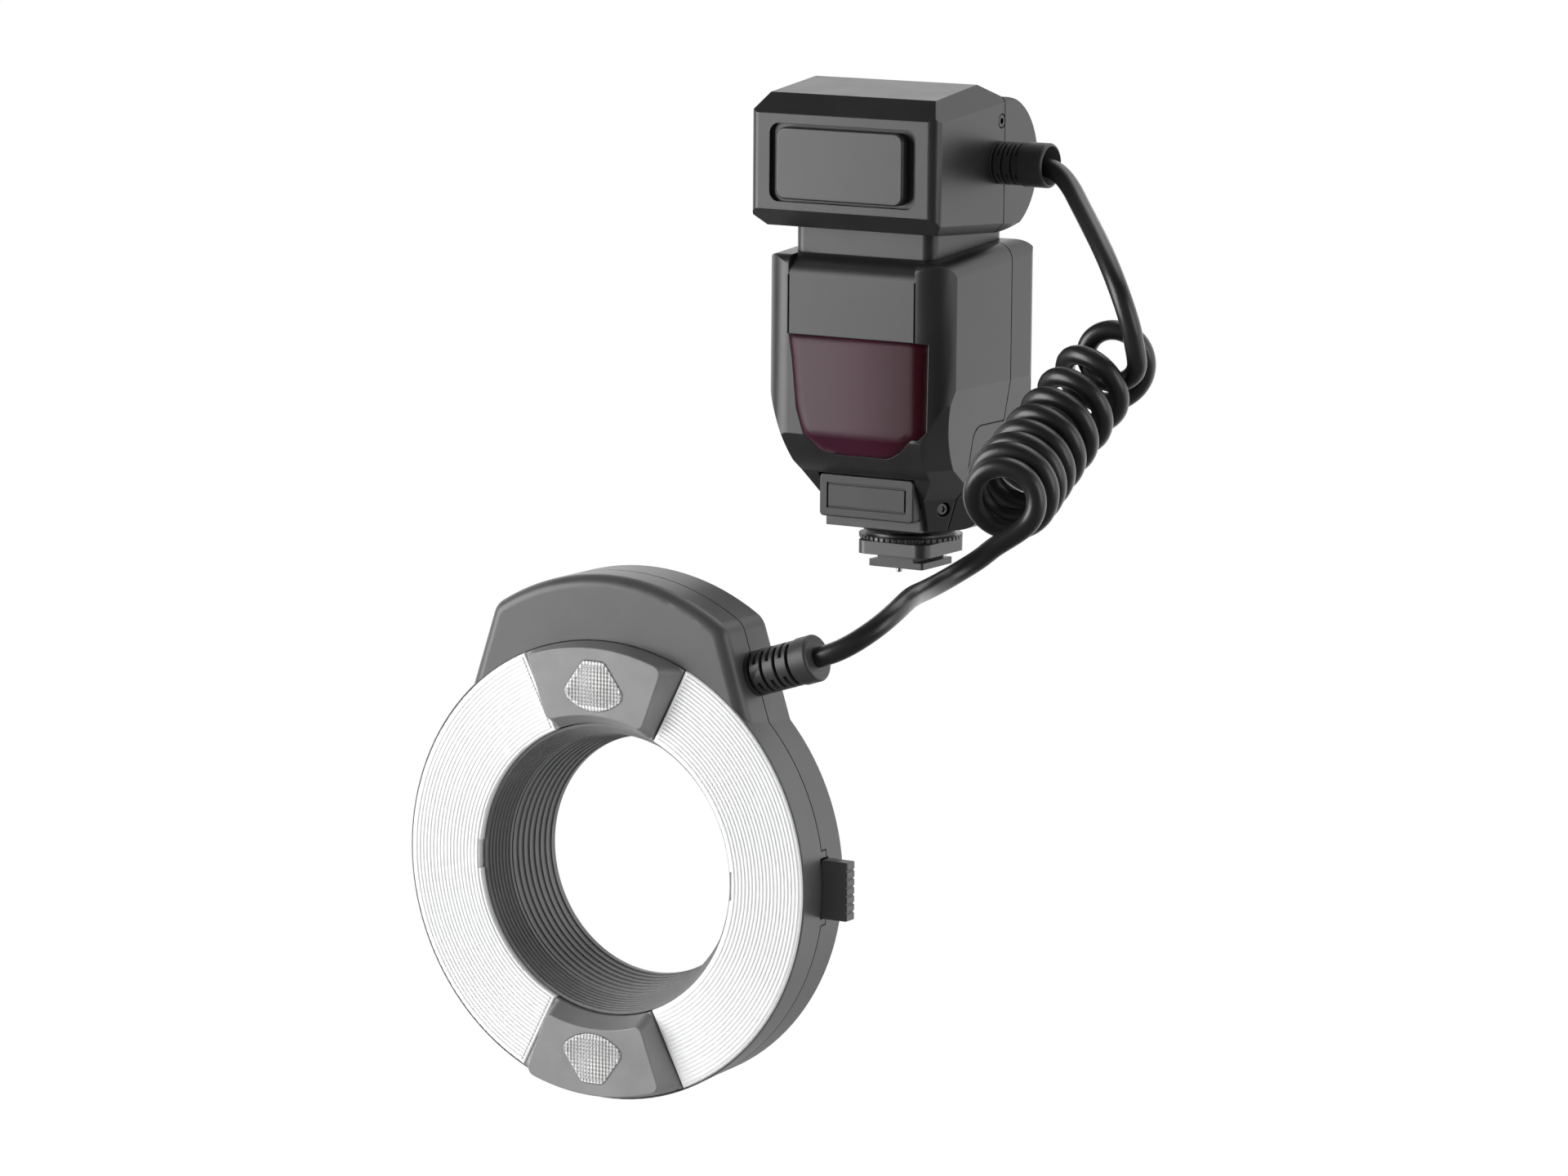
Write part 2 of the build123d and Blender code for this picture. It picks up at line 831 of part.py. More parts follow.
def front_screws():
    with BuildPart() as screws:
        for side in (-1, 1):
            add(screw_head(front_screw_place(side), (side * corner_x, corner_y, 0)))
    return screws.part


def lcd_outline(shrink):
    with BuildSketch() as face:
        with Locations((0, (lcd_low_z + lcd_high_z) / 2)):
            RectangleRounded(2 * (lcd_half - shrink), lcd_high_z - lcd_low_z - 2 * shrink, lcd_r)
    return face.sketch_local


def key_places():
    return [(key_pitch * (i - (key_count - 1) / 2), key_z) for i in range(key_count)]


def rear_cuts():
    """Openings of the rear panel: display, keys, dial, switch and test button."""
    deep = shell_wall + overrun
    inside = facing(back_y - deep)
    with BuildPart() as cuts:
        with BuildSketch(facing(back_y - lcd_thick)):
            add(lcd_outline(-seat_gap))
        extrude(amount=-overrun)
        with BuildSketch(inside):
            add(lcd_outline(lcd_frame))
            with Locations(*key_places()):
                RectangleRounded(key_w + 2 * fit_gap, key_h + 2 * fit_gap, key_h / 4)
            with Locations((0, dial_z)):
                Circle(dial_hub_r + fit_gap)
            with Locations((-switch_x, dial_z + key_w / 2)):
                Circle(test_r + fit_gap)
            with Locations((switch_x, dial_z)):
                Rectangle(switch_w + 2 * fit_gap, switch_h + switch_travel + 2 * fit_gap)
        extrude(amount=-2 * deep)
        with BuildSketch(facing(back_y - dial_recess)):
            with Locations((0, dial_z)):
                Circle(dial_r + fit_gap)
        extrude(amount=-overrun)
    return cuts.part


def body_rear_shell(hollow, zone):
    with BuildPart() as shell:
        add(hollow)
        add(zone, mode=Mode.SUBTRACT)
        add(rear_cuts(), mode=Mode.SUBTRACT)
        add(hinge_bosses())
        add(hinge_pin_bore(), mode=Mode.SUBTRACT)
        add(rod((0, 0, bottom_z - overrun), (0, 0, 1), post_r + seat_gap, overrun + shell_wall + seat_gap),
            mode=Mode.SUBTRACT)
    return shell.part


def facet(a, b, c, inset):
    """Plane through three points, facing away from the head's middle, drawn in by inset."""
    along = Vector(*b) - Vector(*a)
    across = Vector(*c) - Vector(*a)
    normal = along.cross(across).normalized()
    outward = Vector(*a) - Vector(0, barrel_y, barrel_z)
    if normal.dot(outward) < 0:
        normal = -normal
    return Plane(origin=a, x_dir=along, z_dir=normal).offset(-inset)


def head_side():
    """The head seen from the right, with the round barrel at its back."""
    with BuildSketch() as side:
        with BuildLine():
            Polyline((barrel_y, barrel_z - barrel_r), (head_bevel_y, head_bevel_low_z),
                     (head_front_y, head_low_z), (head_front_y, head_high_z),
                     (head_bevel_y, head_bevel_top_z), (head_top_y, head_top_z), (barrel_y, barrel_z + barrel_r))
            ThreePointArc((barrel_y, barrel_z + barrel_r), (barrel_y + barrel_r, barrel_z),
                          (barrel_y, barrel_z - barrel_r))
        make_face()
    return side.sketch_local


def head_form(inset):
    """Solid inside the head's outside, drawn in by inset all round."""
    with BuildPart() as form:
        with BuildSketch(Plane.YZ.offset(-head_half + inset)):
            add(head_side())
            if inset:
                offset(amount=-inset, kind=Kind.INTERSECTION)
        extrude(amount=2 * (head_half - inset))
        with BuildSketch(Plane.XY):
            with BuildLine():
                Polyline((-head_half + inset, head_front_y + inset), (head_half - inset, head_front_y + inset),
                         (head_half - inset, reach), (-head_half + inset, reach), close=True)
            make_face()
            fillet(vertices().group_by(Axis.Y)[0], head_corner_r - inset / 2)
        extrude(amount=reach, mode=Mode.INTERSECT)
        for side in (-1, 1):
            top = facet((side * head_half, head_bevel_y, side_edge_front_z),
                        (side * facet_front_x, head_bevel_y, head_bevel_top_z),
                        (side * head_half, barrel_y, side_edge_back_z), inset)
            split(bisect_by=top, keep=Keep.BOTTOM)
            low = facet((side * head_half, head_bevel_y, head_bevel_low_z + low_facet),
                        (side * (head_half - low_facet), head_bevel_y, head_bevel_low_z),
                        (side * head_half, barrel_y, barrel_z - barrel_r + low_facet), inset)
            split(bisect_by=low, keep=Keep.BOTTOM)
    return form.part


def head_recess(depth):
    """Recess in the head's front, to a depth behind its face."""
    with BuildPart() as recess:
        with BuildSketch(facing(head_front_y + depth)):
            with Locations((0, (recess_low_z + recess_high_z) / 2)):
                RectangleRounded(2 * recess_half, recess_high_z - recess_low_z, recess_r)
        extrude(amount=depth + overrun)
    return recess.part


def head_seam_zone():
    return block(-reach, reach, -reach, head_seam_y, 0, reach)


def head_seam_groove():
    with BuildPart() as groove:
        add(block(-reach, reach, head_seam_y - seam_width / 2, head_seam_y + seam_width / 2, 0, reach))
        add(head_form(seam_width), mode=Mode.SUBTRACT)
    return groove.part


def head_hollow():
    with BuildPart() as shell:
        add(head_form(0))
        add(head_form(shell_wall), mode=Mode.SUBTRACT)
        add(block(-duct_half, duct_half, duct_front_y, duct_back_y, neck_low_z, head_board_z),
            mode=Mode.SUBTRACT)
        add(head_seam_groove(), mode=Mode.SUBTRACT)
        for side in (-1, 1):
            add(rod((side * (head_half - screw_deep), head_screw_y, head_screw_z), (side, 0, 0),
                    screw_r + seat_gap, overrun), mode=Mode.SUBTRACT)
        add(rod((head_half - shell_wall - overrun, head_boot_y, head_boot_z), (1, 0, 0),
                boot_neck_r + seat_gap, 2 * overrun), mode=Mode.SUBTRACT)
    return shell.part


def head_front_shell(hollow, zone):
    with BuildPart() as shell:
        add(hollow)
        add(zone, mode=Mode.INTERSECT)
        add(head_recess(recess_deep), mode=Mode.SUBTRACT)
    return shell.part


def head_rear_shell(hollow, zone):
    with BuildPart() as shell:
        add(hollow)
        add(zone, mode=Mode.SUBTRACT)
    return shell.part


def head_front_plate():
    low = recess_low_z + plate_gap
    high = recess_high_z - plate_gap
    with BuildPart() as plate:
        with BuildSketch(facing(head_front_y + recess_deep)):
            with Locations((0, (low + high) / 2)):
                RectangleRounded(2 * plate_half, high - low, recess_r)
        extrude(amount=recess_deep + plate_proud)
        fillet(plate.faces().sort_by(Axis.Y)[0].edges(), plate_proud / 3)
    return plate.part


def head_screws():
    with BuildPart() as screws:
        for side in (-1, 1):
            add(screw_head((side * (head_half - screw_deep), head_screw_y, head_screw_z), (side, 0, 0)))
    return screws.part


def neck_collar():
    body = body_form(0) - panel_round()
    with BuildPart() as collar:
        with BuildSketch(Plane.XY.offset(neck_low_z)):
            with Locations((0, (neck_front_y + neck_back_y) / 2)):
                RectangleRounded(2 * neck_half, neck_back_y - neck_front_y, neck_r)
                RectangleRounded(2 * (neck_half - neck_wall), neck_back_y - neck_front_y - 2 * neck_wall,
                                 neck_r - neck_wall / 2, mode=Mode.SUBTRACT)
        extrude(amount=neck_high_z - neck_low_z)
        add(body, mode=Mode.SUBTRACT)
        add(head_form(0), mode=Mode.SUBTRACT)
    return collar.part


def head_board():
    """Flash driver board with its transformer, on four feet above the head's floor."""
    floor_z = head_bevel_low_z + shell_wall
    with BuildPart() as board:
        add(block(-head_board_half, head_board_half, head_bevel_y + shell_wall, duct_back_y,
                  head_board_z, head_board_z + board_t))
        for x in (-1, 1):
            for y in (head_bevel_y + 2 * shell_wall, duct_back_y - 2 * shell_wall):
                foot_x = x * (head_board_half - 2 * shell_wall)
                add(rod((foot_x, y, floor_z - shell_wall / 4), (0, 0, 1), screw_r, head_board_z - floor_z))
        add(head_form(shell_wall), mode=Mode.INTERSECT)
        add(block(-transformer_w / 2, transformer_w / 2, duct_front_y, duct_front_y + transformer_l,
                  head_board_z, head_board_z + board_t + transformer_h))
    return board.part


def port_sockets():
    middle_z = (port_low_z + port_high_z) / 2
    face = chin_back_y + shell_wall
    holes = socket_holes() & block(-reach, reach, -reach, face + socket_deep, 0, reach)
    with BuildPart() as sockets:
        with BuildSketch(facing(face)):
            with Locations((-port_half / 2, middle_z)):
                Circle(2 * jack_r)
            with Locations((port_half / 2, middle_z)):
                Rectangle(usb_w + 2 * screw_deep, usb_h + 2 * screw_deep)
        extrude(amount=-socket_deep - screw_deep)
        add(holes, mode=Mode.SUBTRACT)
    return sockets.part


def port_cover():
    """Rubber flap over the sockets, hinged on a pin along its lower edge."""
    middle_z = (port_low_z + port_high_z) / 2
    height = port_high_z - port_low_z
    with BuildPart() as cover:
        with BuildSketch(facing(port_back_y - seat_gap)):
            with Locations((0, middle_z)):
                RectangleRounded(2 * port_half, height, port_panel_inset / 2)
        extrude(amount=port_back_y - seat_gap - port_face_y)
        lower_back = cover.edges().filter_by(Axis.X).sort_by_distance((0, port_back_y, port_low_z))[0]
        fillet(lower_back, port_pin_r)
        fillet(cover.faces().sort_by(Axis.Y)[0].edges(), port_panel_step)
        with BuildSketch(facing(port_face_y)):
            with Locations((0, middle_z)):
                Rectangle(2 * (port_half - port_panel_inset), height - 2 * port_panel_inset)
                Rectangle(2 * (port_half - port_panel_inset) - 2 * port_panel_step,
                          height - 2 * port_panel_inset - 2 * port_panel_step, mode=Mode.SUBTRACT)
        extrude(amount=-port_panel_step, mode=Mode.SUBTRACT)
    return cover.part


# Places of the four cells, as depth and height
def cell_places():
    half = cell_pitch / 2
    return [(cells_y + y * half, cells_z + z * half) for y in (-1, 1) for z in (-1, 1)]


def frame_box():
    """Depth and height limits of the battery frame round its four bores."""
    half = cell_pitch / 2 + cell_r + cell_gap + frame_wall
    return cells_y - half, cells_y + half, cells_z - half, cells_z + half


def chassis():
    """Moulded frame: four battery bores, ribs that clasp the capacitor, pads for the front."""
    y0, y1, z0, z1 = frame_box()
    with BuildPart() as frame:
        add(block(frame_left_x, frame_right_x, y0, y1, z0, z1))
        with BuildSketch(Plane.YZ.offset(frame_left_x - overrun)):
            with Locations(*cell_places()):
                Circle(cell_r + cell_gap)
        extrude(amount=frame_right_x - frame_end - frame_left_x + overrun, mode=Mode.SUBTRACT)
        for side in (-1, 1):
            x = side * cap_rib_x
            add(block(x - cap_rib_t / 2, x + cap_rib_t / 2, cap_y - cap_rib_half, cap_y + cap_rib_half,
                      cap_z + cap_r / 2, z0))
        add(rod((-cap_l, cap_y, cap_z), (1, 0, 0), cap_r, 2 * cap_l), mode=Mode.SUBTRACT)
        for side in (-1, 1):
            x = side * (lamp_half + cap_rib_t + fit_gap)
            add(block(x - cap_rib_t / 2, x + cap_rib_t / 2, panel_y + shell_wall + seat_gap, y0,
                      window_top_z + cap_rib_t, window_top_z + 2 * cap_rib_t))
        add(body_form(shell_wall + seat_gap), mode=Mode.INTERSECT)
    return frame.part


def aa_cells():
    with BuildPart() as cells:
        with BuildSketch(Plane.YZ.offset(-cell_l / 2)):
            with Locations(*cell_places()):
                Circle(cell_r)
        extrude(amount=cell_l - cell_nub_l)
        for i, (y, z) in enumerate(cell_places()):
            side = 1 if i % 2 else -1
            start = cell_l / 2 - cell_nub_l if side > 0 else -cell_l / 2
            add(rod((start, y, z), (1, 0, 0), cell_nub_r, cell_nub_l))
            if side < 0:
                add(rod((cell_l / 2 - cell_nub_l, y, z), (1, 0, 0), cell_r - frame_wall, cell_nub_l))
    return cells.part


def battery_contacts():
    """Contact plates with conical springs at the closed end of the bores."""
    end_x = frame_right_x - frame_end
    with BuildPart() as contacts:
        for y, z in cell_places():
            add(rod((end_x - contact_plate_t, y, z), (1, 0, 0), cell_r - frame_wall, contact_plate_t))
            with BuildSketch(Plane(origin=(end_x - contact_plate_t, y, z), z_dir=(-1, 0, 0))):
                Circle(cell_r - 2 * frame_wall)
            with BuildSketch(Plane(origin=(cell_l / 2, y, z), z_dir=(-1, 0, 0))):
                Circle(contact_bump_r)
            loft()
    return contacts.part


def battery_door():
    """Side door that follows the wall, with a hinge barrel and a ribbed thumb rest."""
    outer_x = -body_half
    high = door_high_z
    with BuildPart() as door:
        add(block(outer_x - overrun, outer_x + 2 * door_thick, door_front_y, hinge_y - barrel_back,
                  door_low_z, high))
        fillet(door.edges().filter_by(Axis.X).group_by(Axis.Y)[0], side_top_r)
        add(body_form(0), mode=Mode.INTERSECT)
        add(body_form(door_thick), mode=Mode.SUBTRACT)
        add(block(outer_x, outer_x + door_thick, hinge_y - barrel_back - fit_gap, hinge_y, barrel_low_z, high))
        add(rod((outer_x + hinge_r, hinge_y, barrel_low_z), (0, 0, 1), hinge_r, high - barrel_low_z))
        add(hinge_pin_bore(), mode=Mode.SUBTRACT)
        add(door_contacts(), mode=Mode.SUBTRACT)
        middle_y = (door_front_y + hinge_y) / 2
        for i in range(door_grip_ribs):
            rib_z = high - side_top_r - (i + 1) * door_grip_pitch
            add(block(outer_x - door_grip_t / 2, outer_x, middle_y - door_grip_w / 2, middle_y + door_grip_w / 2,
                      rib_z - door_grip_t / 2, rib_z + door_grip_t / 2))
    return door.part


def door_hinge_pin():
    low_z = pin_bore_z() + door_slide + 2 * seat_gap
    return rod((-body_half + hinge_r, hinge_y, low_z), (0, 0, 1), hinge_pin_r,
               door_high_z + hinge_boss_l - door_slide / 2 - low_z)


def door_strips():
    """Contact strips let into the inside of the door."""
    inner_x = -body_half + door_thick
    half = cell_r - 2 * frame_wall
    z_half = cell_pitch / 2 + half
    return [block(inner_x, inner_x + contact_plate_t, cells_y + y * cell_pitch / 2 - half,
                  cells_y + y * cell_pitch / 2 + half, cells_z - z_half, cells_z + z_half) for y in (-1, 1)]


def door_contacts():
    """The two strips, each with a bump for the two cells that it joins."""
    inner_x = -body_half + door_thick
    with BuildPart() as strips:
        for strip in door_strips():
            add(strip)
        for y, z in cell_places():
            add(rod((inner_x, y, z), (1, 0, 0), contact_bump_r, -cell_l / 2 - cell_gap - inner_x))
    return strips.part


def main_capacitor():
    with BuildPart() as can:
        add(rod((-cap_l / 2, cap_y, cap_z), (1, 0, 0), cap_r, cap_l))
        fillet(can.edges().filter_by(GeomType.CIRCLE), cap_r / 12)
        for y in (-1, 1):
            add(rod((cap_l / 2, cap_y + y * cap_r / 3, cap_z), (1, 0, 0), cap_r / 14, cap_r / 4))
    return can.part


def board_y():
    """Front face of the main board, which lies on the back of the battery frame."""
    return frame_box()[1]


def main_board():
    with BuildPart() as board:
        add(block(-board_half, board_half, board_y(), board_y() + board_t, board_low_z, board_high_z))
        for side in (-1, 1):
            add(block(side * board_half / 2 - cap_rib_t, side * board_half / 2 + cap_rib_t,
                      board_y() - board_t, board_y(), board_low_z + board_t, board_low_z + 2 * cap_rib_t))
        add(body_form(shell_wall + fit_gap), mode=Mode.INTERSECT)
    return board.part


def lcd_module():
    with BuildPart() as module:
        with BuildSketch(facing(board_y() + board_t)):
            add(lcd_outline(lcd_frame / 2))
        extrude(amount=-(back_y - shell_wall - board_y() - board_t))
        with BuildSketch(facing(back_y - shell_wall)):
            add(lcd_outline(lcd_frame + fit_gap))
        extrude(amount=-(shell_wall - lcd_thick))
    return module.part


def lcd_window():
    with BuildPart() as window:
        with BuildSketch(facing(back_y - lcd_thick)):
            add(lcd_outline(0))
        extrude(amount=-lcd_thick)
    return window.part


def plunger(center, cap_outline, flange_outline, proud):
    """Push piece through the rear panel: cap, flange behind the wall and a stem to the board."""
    flange_y = back_y - shell_wall - fit_gap - key_flange_t
    tip_y = board_y() + board_t + key_travel + fit_gap
    with BuildPart() as key:
        with BuildSketch(facing(flange_y)):
            with Locations(center):
                add(flange_outline)
        extrude(amount=-key_flange_t)
        with BuildSketch(facing(flange_y + key_flange_t)):
            with Locations(center):
                add(cap_outline)
        extrude(amount=-(back_y + proud - flange_y - key_flange_t))
        fillet(key.faces().sort_by(Axis.Y)[-1].edges(), key_stem_r / 4)
        with BuildSketch(facing(tip_y)):
            with Locations(center):
                Circle(key_stem_r)
        extrude(amount=-(flange_y - tip_y))
    return key.part


def rear_key(index):
    with BuildSketch() as cap:
        RectangleRounded(key_w, key_h, key_h / 4)
    with BuildSketch() as flange:
        RectangleRounded(key_w + 2 * key_flange, key_h + 2 * key_flange, key_h / 4)
    return plunger(key_places()[index], cap.sketch_local, flange.sketch_local, key_proud)


def test_button():
    with BuildSketch() as cap:
        Circle(test_r)
    with BuildSketch() as flange:
        Circle(test_r + key_flange)
    return plunger((-switch_x, dial_z + key_w / 2), cap.sketch_local, flange.sketch_local, key_proud)


def set_button():
    """Button in the dial's bore: its flange lies behind the dial's hub."""
    flange_y = back_y - shell_wall - 2 * fit_gap - 2 * key_flange_t
    tip_y = board_y() + board_t + key_travel + fit_gap
    with BuildPart() as key:
        for y0, y1, r in ((tip_y, flange_y, key_stem_r), (flange_y, flange_y + key_flange_t, dial_hub_r),
                          (flange_y + key_flange_t, back_y + dial_proud - fit_gap, set_r)):
            with BuildSketch(facing(y0)):
                with Locations((0, dial_z)):
                    Circle(r)
            extrude(amount=-(y1 - y0))
        fillet(key.faces().sort_by(Axis.Y)[-1].edges(), key_stem_r / 4)
    return key.part


def select_dial():
    """Ridged ring that turns in a round recess, held by a hub through the panel."""
    seat_y = back_y - dial_recess + fit_gap
    with BuildPart() as dial:
        with BuildSketch(facing(seat_y)):
            with Locations((0, dial_z)):
                Circle(dial_r)
                with PolarLocations(dial_r, dial_ridges):
                    Circle(dial_ridge_r, mode=Mode.SUBTRACT)
        extrude(amount=-(back_y + dial_proud - seat_y))
        with BuildSketch(facing(back_y - shell_wall - fit_gap - key_flange_t)):
            with Locations((0, dial_z)):
                Circle(dial_hub_r)
        extrude(amount=-(seat_y - back_y + shell_wall + fit_gap + key_flange_t))
        with BuildSketch(facing(0)):
            with Locations((0, dial_z)):
                Circle(dial_bore_r)
        extrude(amount=-reach, mode=Mode.SUBTRACT)
    return dial.part


def power_switch():
    """Slide knob with three grip ribs, and the carrier behind the panel."""
    low_z = dial_z - (switch_h + switch_travel) / 2
    flange_y = back_y - shell_wall - fit_gap - key_flange_t
    with BuildPart() as knob:
        add(block(switch_x - switch_w / 2, switch_x + switch_w / 2, flange_y, back_y + switch_proud,
                  low_z, low_z + switch_h))
        add(block(switch_x - switch_w, switch_x + switch_w, flange_y, flange_y + key_flange_t,
                  low_z - key_flange, low_z + switch_h + key_flange))
        for i in (-1, 0, 1):
            rib_z = low_z + switch_h / 2 + i * switch_h / 4
            add(block(switch_x - switch_w, switch_x + switch_w, back_y + switch_proud - key_flange / 2,
                      back_y + 2 * switch_proud, rib_z - key_flange / 2, rib_z + key_flange / 2),
                mode=Mode.SUBTRACT)
    return knob.part


def af_lamp():
    """Focus lamp housing on the front of the battery frame, with two round lenses."""
    with BuildPart() as lamp:
        add(block(-lamp_half, lamp_half, lamp_front_y, frame_box()[0], lamp_low_z, lamp_high_z))
        for side in (-1, 1):
            center = (side * lamp_lens_x, lamp_front_y, (lamp_low_z + lamp_high_z) / 2)
            add(rod(center, (0, -1, 0), lamp_lens_r, lamp_lens_l))
        fillet(lamp.faces().sort_by(Axis.Y)[0].edges(), lamp_lens_l / 3)
    return lamp.part


# Shoe foot and clamp
def contact_places():
    return [(x * foot_w, y * foot_l) for x, y in contact_shares]


def foot_plate():
    """Foot that slides in the shoe, its stem and the threaded post above."""
    with BuildPart() as foot:
        add(block(-foot_w / 2, foot_w / 2, -foot_l / 2, foot_l / 2, 0, foot_t))
        chamfer(foot.edges().filter_by(Axis.Z), foot_t / 4)
        add(block(-stem_w / 2, stem_w / 2, -foot_l / 2, foot_l / 2, foot_t, rail_z))
        add(rod((0, 0, rail_z), (0, 0, 1), post_r, bottom_z + shell_wall - rail_z))
        with BuildSketch(Plane.XY):
            with Locations(*contact_places()):
                Circle(contact_r + post_gap)
        extrude(amount=contact_top_z + contact_travel + fit_gap, mode=Mode.SUBTRACT)
        with BuildSketch(Plane.XY):
            with Locations((0, pin_y)):
                Circle(pin_r + post_gap)
        extrude(amount=rail_z, mode=Mode.SUBTRACT)
    return foot.part


def foot_contacts():
    with BuildPart() as contacts:
        with BuildSketch(Plane.XY.offset(-contact_out)):
            with Locations(*contact_places()):
                Circle(contact_r)
        extrude(amount=contact_out + contact_top_z)
        fillet(contacts.edges().group_by(Axis.Z)[0], contact_out / 2)
    return contacts.part


def lock_pin():
    with BuildPart() as pin:
        with BuildSketch(Plane.XY.offset(-pin_out)):
            with Locations((0, pin_y)):
                Circle(pin_r)
        extrude(amount=pin_out + pin_top_z)
        chamfer(pin.edges().group_by(Axis.Z)[0], pin_r / 3)
    return pin.part


def lock_plate():
    with BuildPart() as plate:
        with BuildSketch(Plane.XY.offset(rail_z)):
            RectangleRounded(clamp_w, clamp_l, clamp_r)
            Circle(post_r + post_gap, mode=Mode.SUBTRACT)
        extrude(amount=clamp_t)
        chamfer(plate.faces().sort_by(Axis.Z)[-1].outer_wire().edges(), wheel_notch_r)
    return plate.part


def lock_wheel():
    """Knurled clamp wheel with a raised hub, threaded on the post."""
    low = rail_z + clamp_t + wheel_gap
    with BuildPart() as wheel:
        with BuildSketch(Plane.XY.offset(low)):
            Circle(wheel_r)
            with PolarLocations(wheel_r, wheel_notches):
                Circle(wheel_notch_r, mode=Mode.SUBTRACT)
        extrude(amount=wheel_rim_t)
        with BuildSketch(Plane.XY.offset(low)):
            Circle(wheel_hub_r)
        extrude(amount=wheel_t)
        with BuildSketch(Plane.XY.offset(low)):
            Circle(post_r + post_gap)
        extrude(amount=wheel_t, mode=Mode.SUBTRACT)
    return wheel.part


def pedestal():
    """Flared collar under the body, clear of the wheel."""
    low = rail_z + clamp_t + wheel_gap + wheel_t + clamp_rise + fit_gap
    with BuildPart() as flare:
        with BuildSketch(Plane.XY.offset(low)):
            Circle(pedestal_low_r)
        with BuildSketch(Plane.XY.offset(bottom_z)):
            Circle(pedestal_high_r)
        loft()
        with BuildSketch(Plane.XY.offset(low)):
            Circle(post_r)
        extrude(amount=bottom_z - low, mode=Mode.SUBTRACT)
    return flare.part


# Ring head
def hood_outline(shrink):
    """Hood above the ring: leaning sides, a round top and rounded corners."""
    slope = tan(radians(hood_lean))
    foot_half = hood_root_half + slope * (hood_root_z - hood_foot_z)
    crown_z = hood_rise + hood_r
    crown_half = hood_root_half - slope * (crown_z - hood_root_z)
    with BuildSketch() as hood:
        with BuildLine():
            Polyline((-foot_half, hood_foot_z), (foot_half, hood_foot_z), (crown_half, crown_z),
                     (-crown_half, crown_z), close=True)
        make_face()
        with Locations((0, hood_rise)):
            Circle(hood_r, mode=Mode.INTERSECT)
        fillet(hood.vertices().group_by(Axis.Y)[-1], hood_corner_r)
        if shrink:
            offset(amount=-shrink, kind=Kind.INTERSECTION)
    return hood.sketch_local


def ring_form():
    """Outside of the ring head: two slightly tapered drums and the hood."""
    with BuildPart() as hood:
        with BuildSketch(ring_plane(ring_back_y)):
            add(hood_outline(0))
        extrude(amount=ring_back_y - ring_front_y)
        front = hood.faces().sort_by(Axis.Y)[0]
        fillet(front.edges().sort_by(Axis.Z)[1:], hood_edge_r)
    with BuildPart() as form:
        with BuildSketch(Plane(origin=(0, 0, ring_z))):
            with BuildLine():
                Polyline((0, ring_front_y), (ring_r, ring_front_y), (ring_seam_r, ring_seam_y),
                         (ring_back_r, ring_back_y), (0, ring_back_y), close=True)
            make_face()
        revolve(axis=ring_axis)
        add(hood.part)
    return form.part


def window_sector(shrink):
    """Outline of the right flash window: a ring sector with straight ends."""
    r_in = diffuser_in_r + shrink
    r_out = diffuser_out_r - shrink
    low = (diffuser_in_x + shrink, sqrt(r_in ** 2 - (diffuser_in_x + shrink) ** 2))
    high = (diffuser_out_x + shrink, sqrt(r_out ** 2 - (diffuser_out_x + shrink) ** 2))
    with BuildSketch() as sector:
        with BuildLine():
            ThreePointArc((low[0], -low[1]), (r_in, 0), low)
            Line(low, high)
            ThreePointArc(high, (r_out, 0), (high[0], -high[1]))
            Line((high[0], -high[1]), (low[0], -low[1]))
        make_face()
    return sector.sketch_local


def button_slot(side):
    x0, x1 = sorted((side * (ring_r - 2 * ring_wall), side * (button_out_x + overrun)))
    return block(x0, x1, button_front_y - fit_gap, button_back_y + fit_gap,
                 ring_z - button_half - fit_gap, ring_z + button_half + fit_gap)


def claw_slots():
    half = bore_wall_r + bore_wall_t + overrun
    return block(-half, half, groove_front_y, groove_back_y,
                 ring_z - claw_half - fit_gap, ring_z + claw_half + fit_gap)


def ring_seam_zone():
    """Everything in front of the ring's seam, with a tab round each release button."""
    with BuildPart() as zone:
        add(block(-reach, reach, -reach, ring_seam_y, -reach, reach))
        for side in (-1, 1):
            inner = (bore_wall_r + ring_r) / 2
            x0, x1 = sorted((side * inner, side * reach))
            add(block(x0, x1, ring_seam_y - overrun, button_tab_y,
                      ring_z - button_tab_half, ring_z + button_tab_half))
    return zone.part


def ring_seam_groove():
    """Shadow gap along the seam: a thin slice through the outer skin."""
    half = seam_width / 2
    with BuildPart() as groove:
        add(block(-reach, reach, ring_seam_y - half, ring_seam_y + half, -reach, reach))
        for side in (-1, 1):
            x0, x1 = sorted((side * (bore_wall_r + ring_r) / 2, side * reach))
            add(block(x0, x1, ring_seam_y - overrun, button_tab_y + half,
                      ring_z - button_tab_half - half, ring_z + button_tab_half + half))
            add(block(x0, x1, ring_seam_y - 2 * overrun, button_tab_y - half,
                      ring_z - button_tab_half + half, ring_z + button_tab_half - half), mode=Mode.SUBTRACT)
        add(block(-reach, reach, ring_seam_y - 2 * overrun, ring_seam_y - half, -reach, reach),
            mode=Mode.SUBTRACT)
        with BuildSketch(ring_plane(ring_back_y + overrun)):
            Circle(ring_seam_r - seam_width)
            add(hood_outline(seam_width))
        extrude(amount=4 * overrun, mode=Mode.SUBTRACT)
    return groove.part


def boot_direction():
    """Square to the hood's leaning side."""
    return (cos(radians(hood_lean)), 0, sin(radians(hood_lean)))


def along_boot(distance):
    """Point on the ring boot's axis, measured from the hood's side."""
    d = boot_direction()
    root_x = hood_root_half - tan(radians(hood_lean)) * (ring_boot_rise - hood_root_z)
    return (root_x + d[0] * distance, ring_seam_y, ring_z + ring_boot_rise + d[2] * distance)





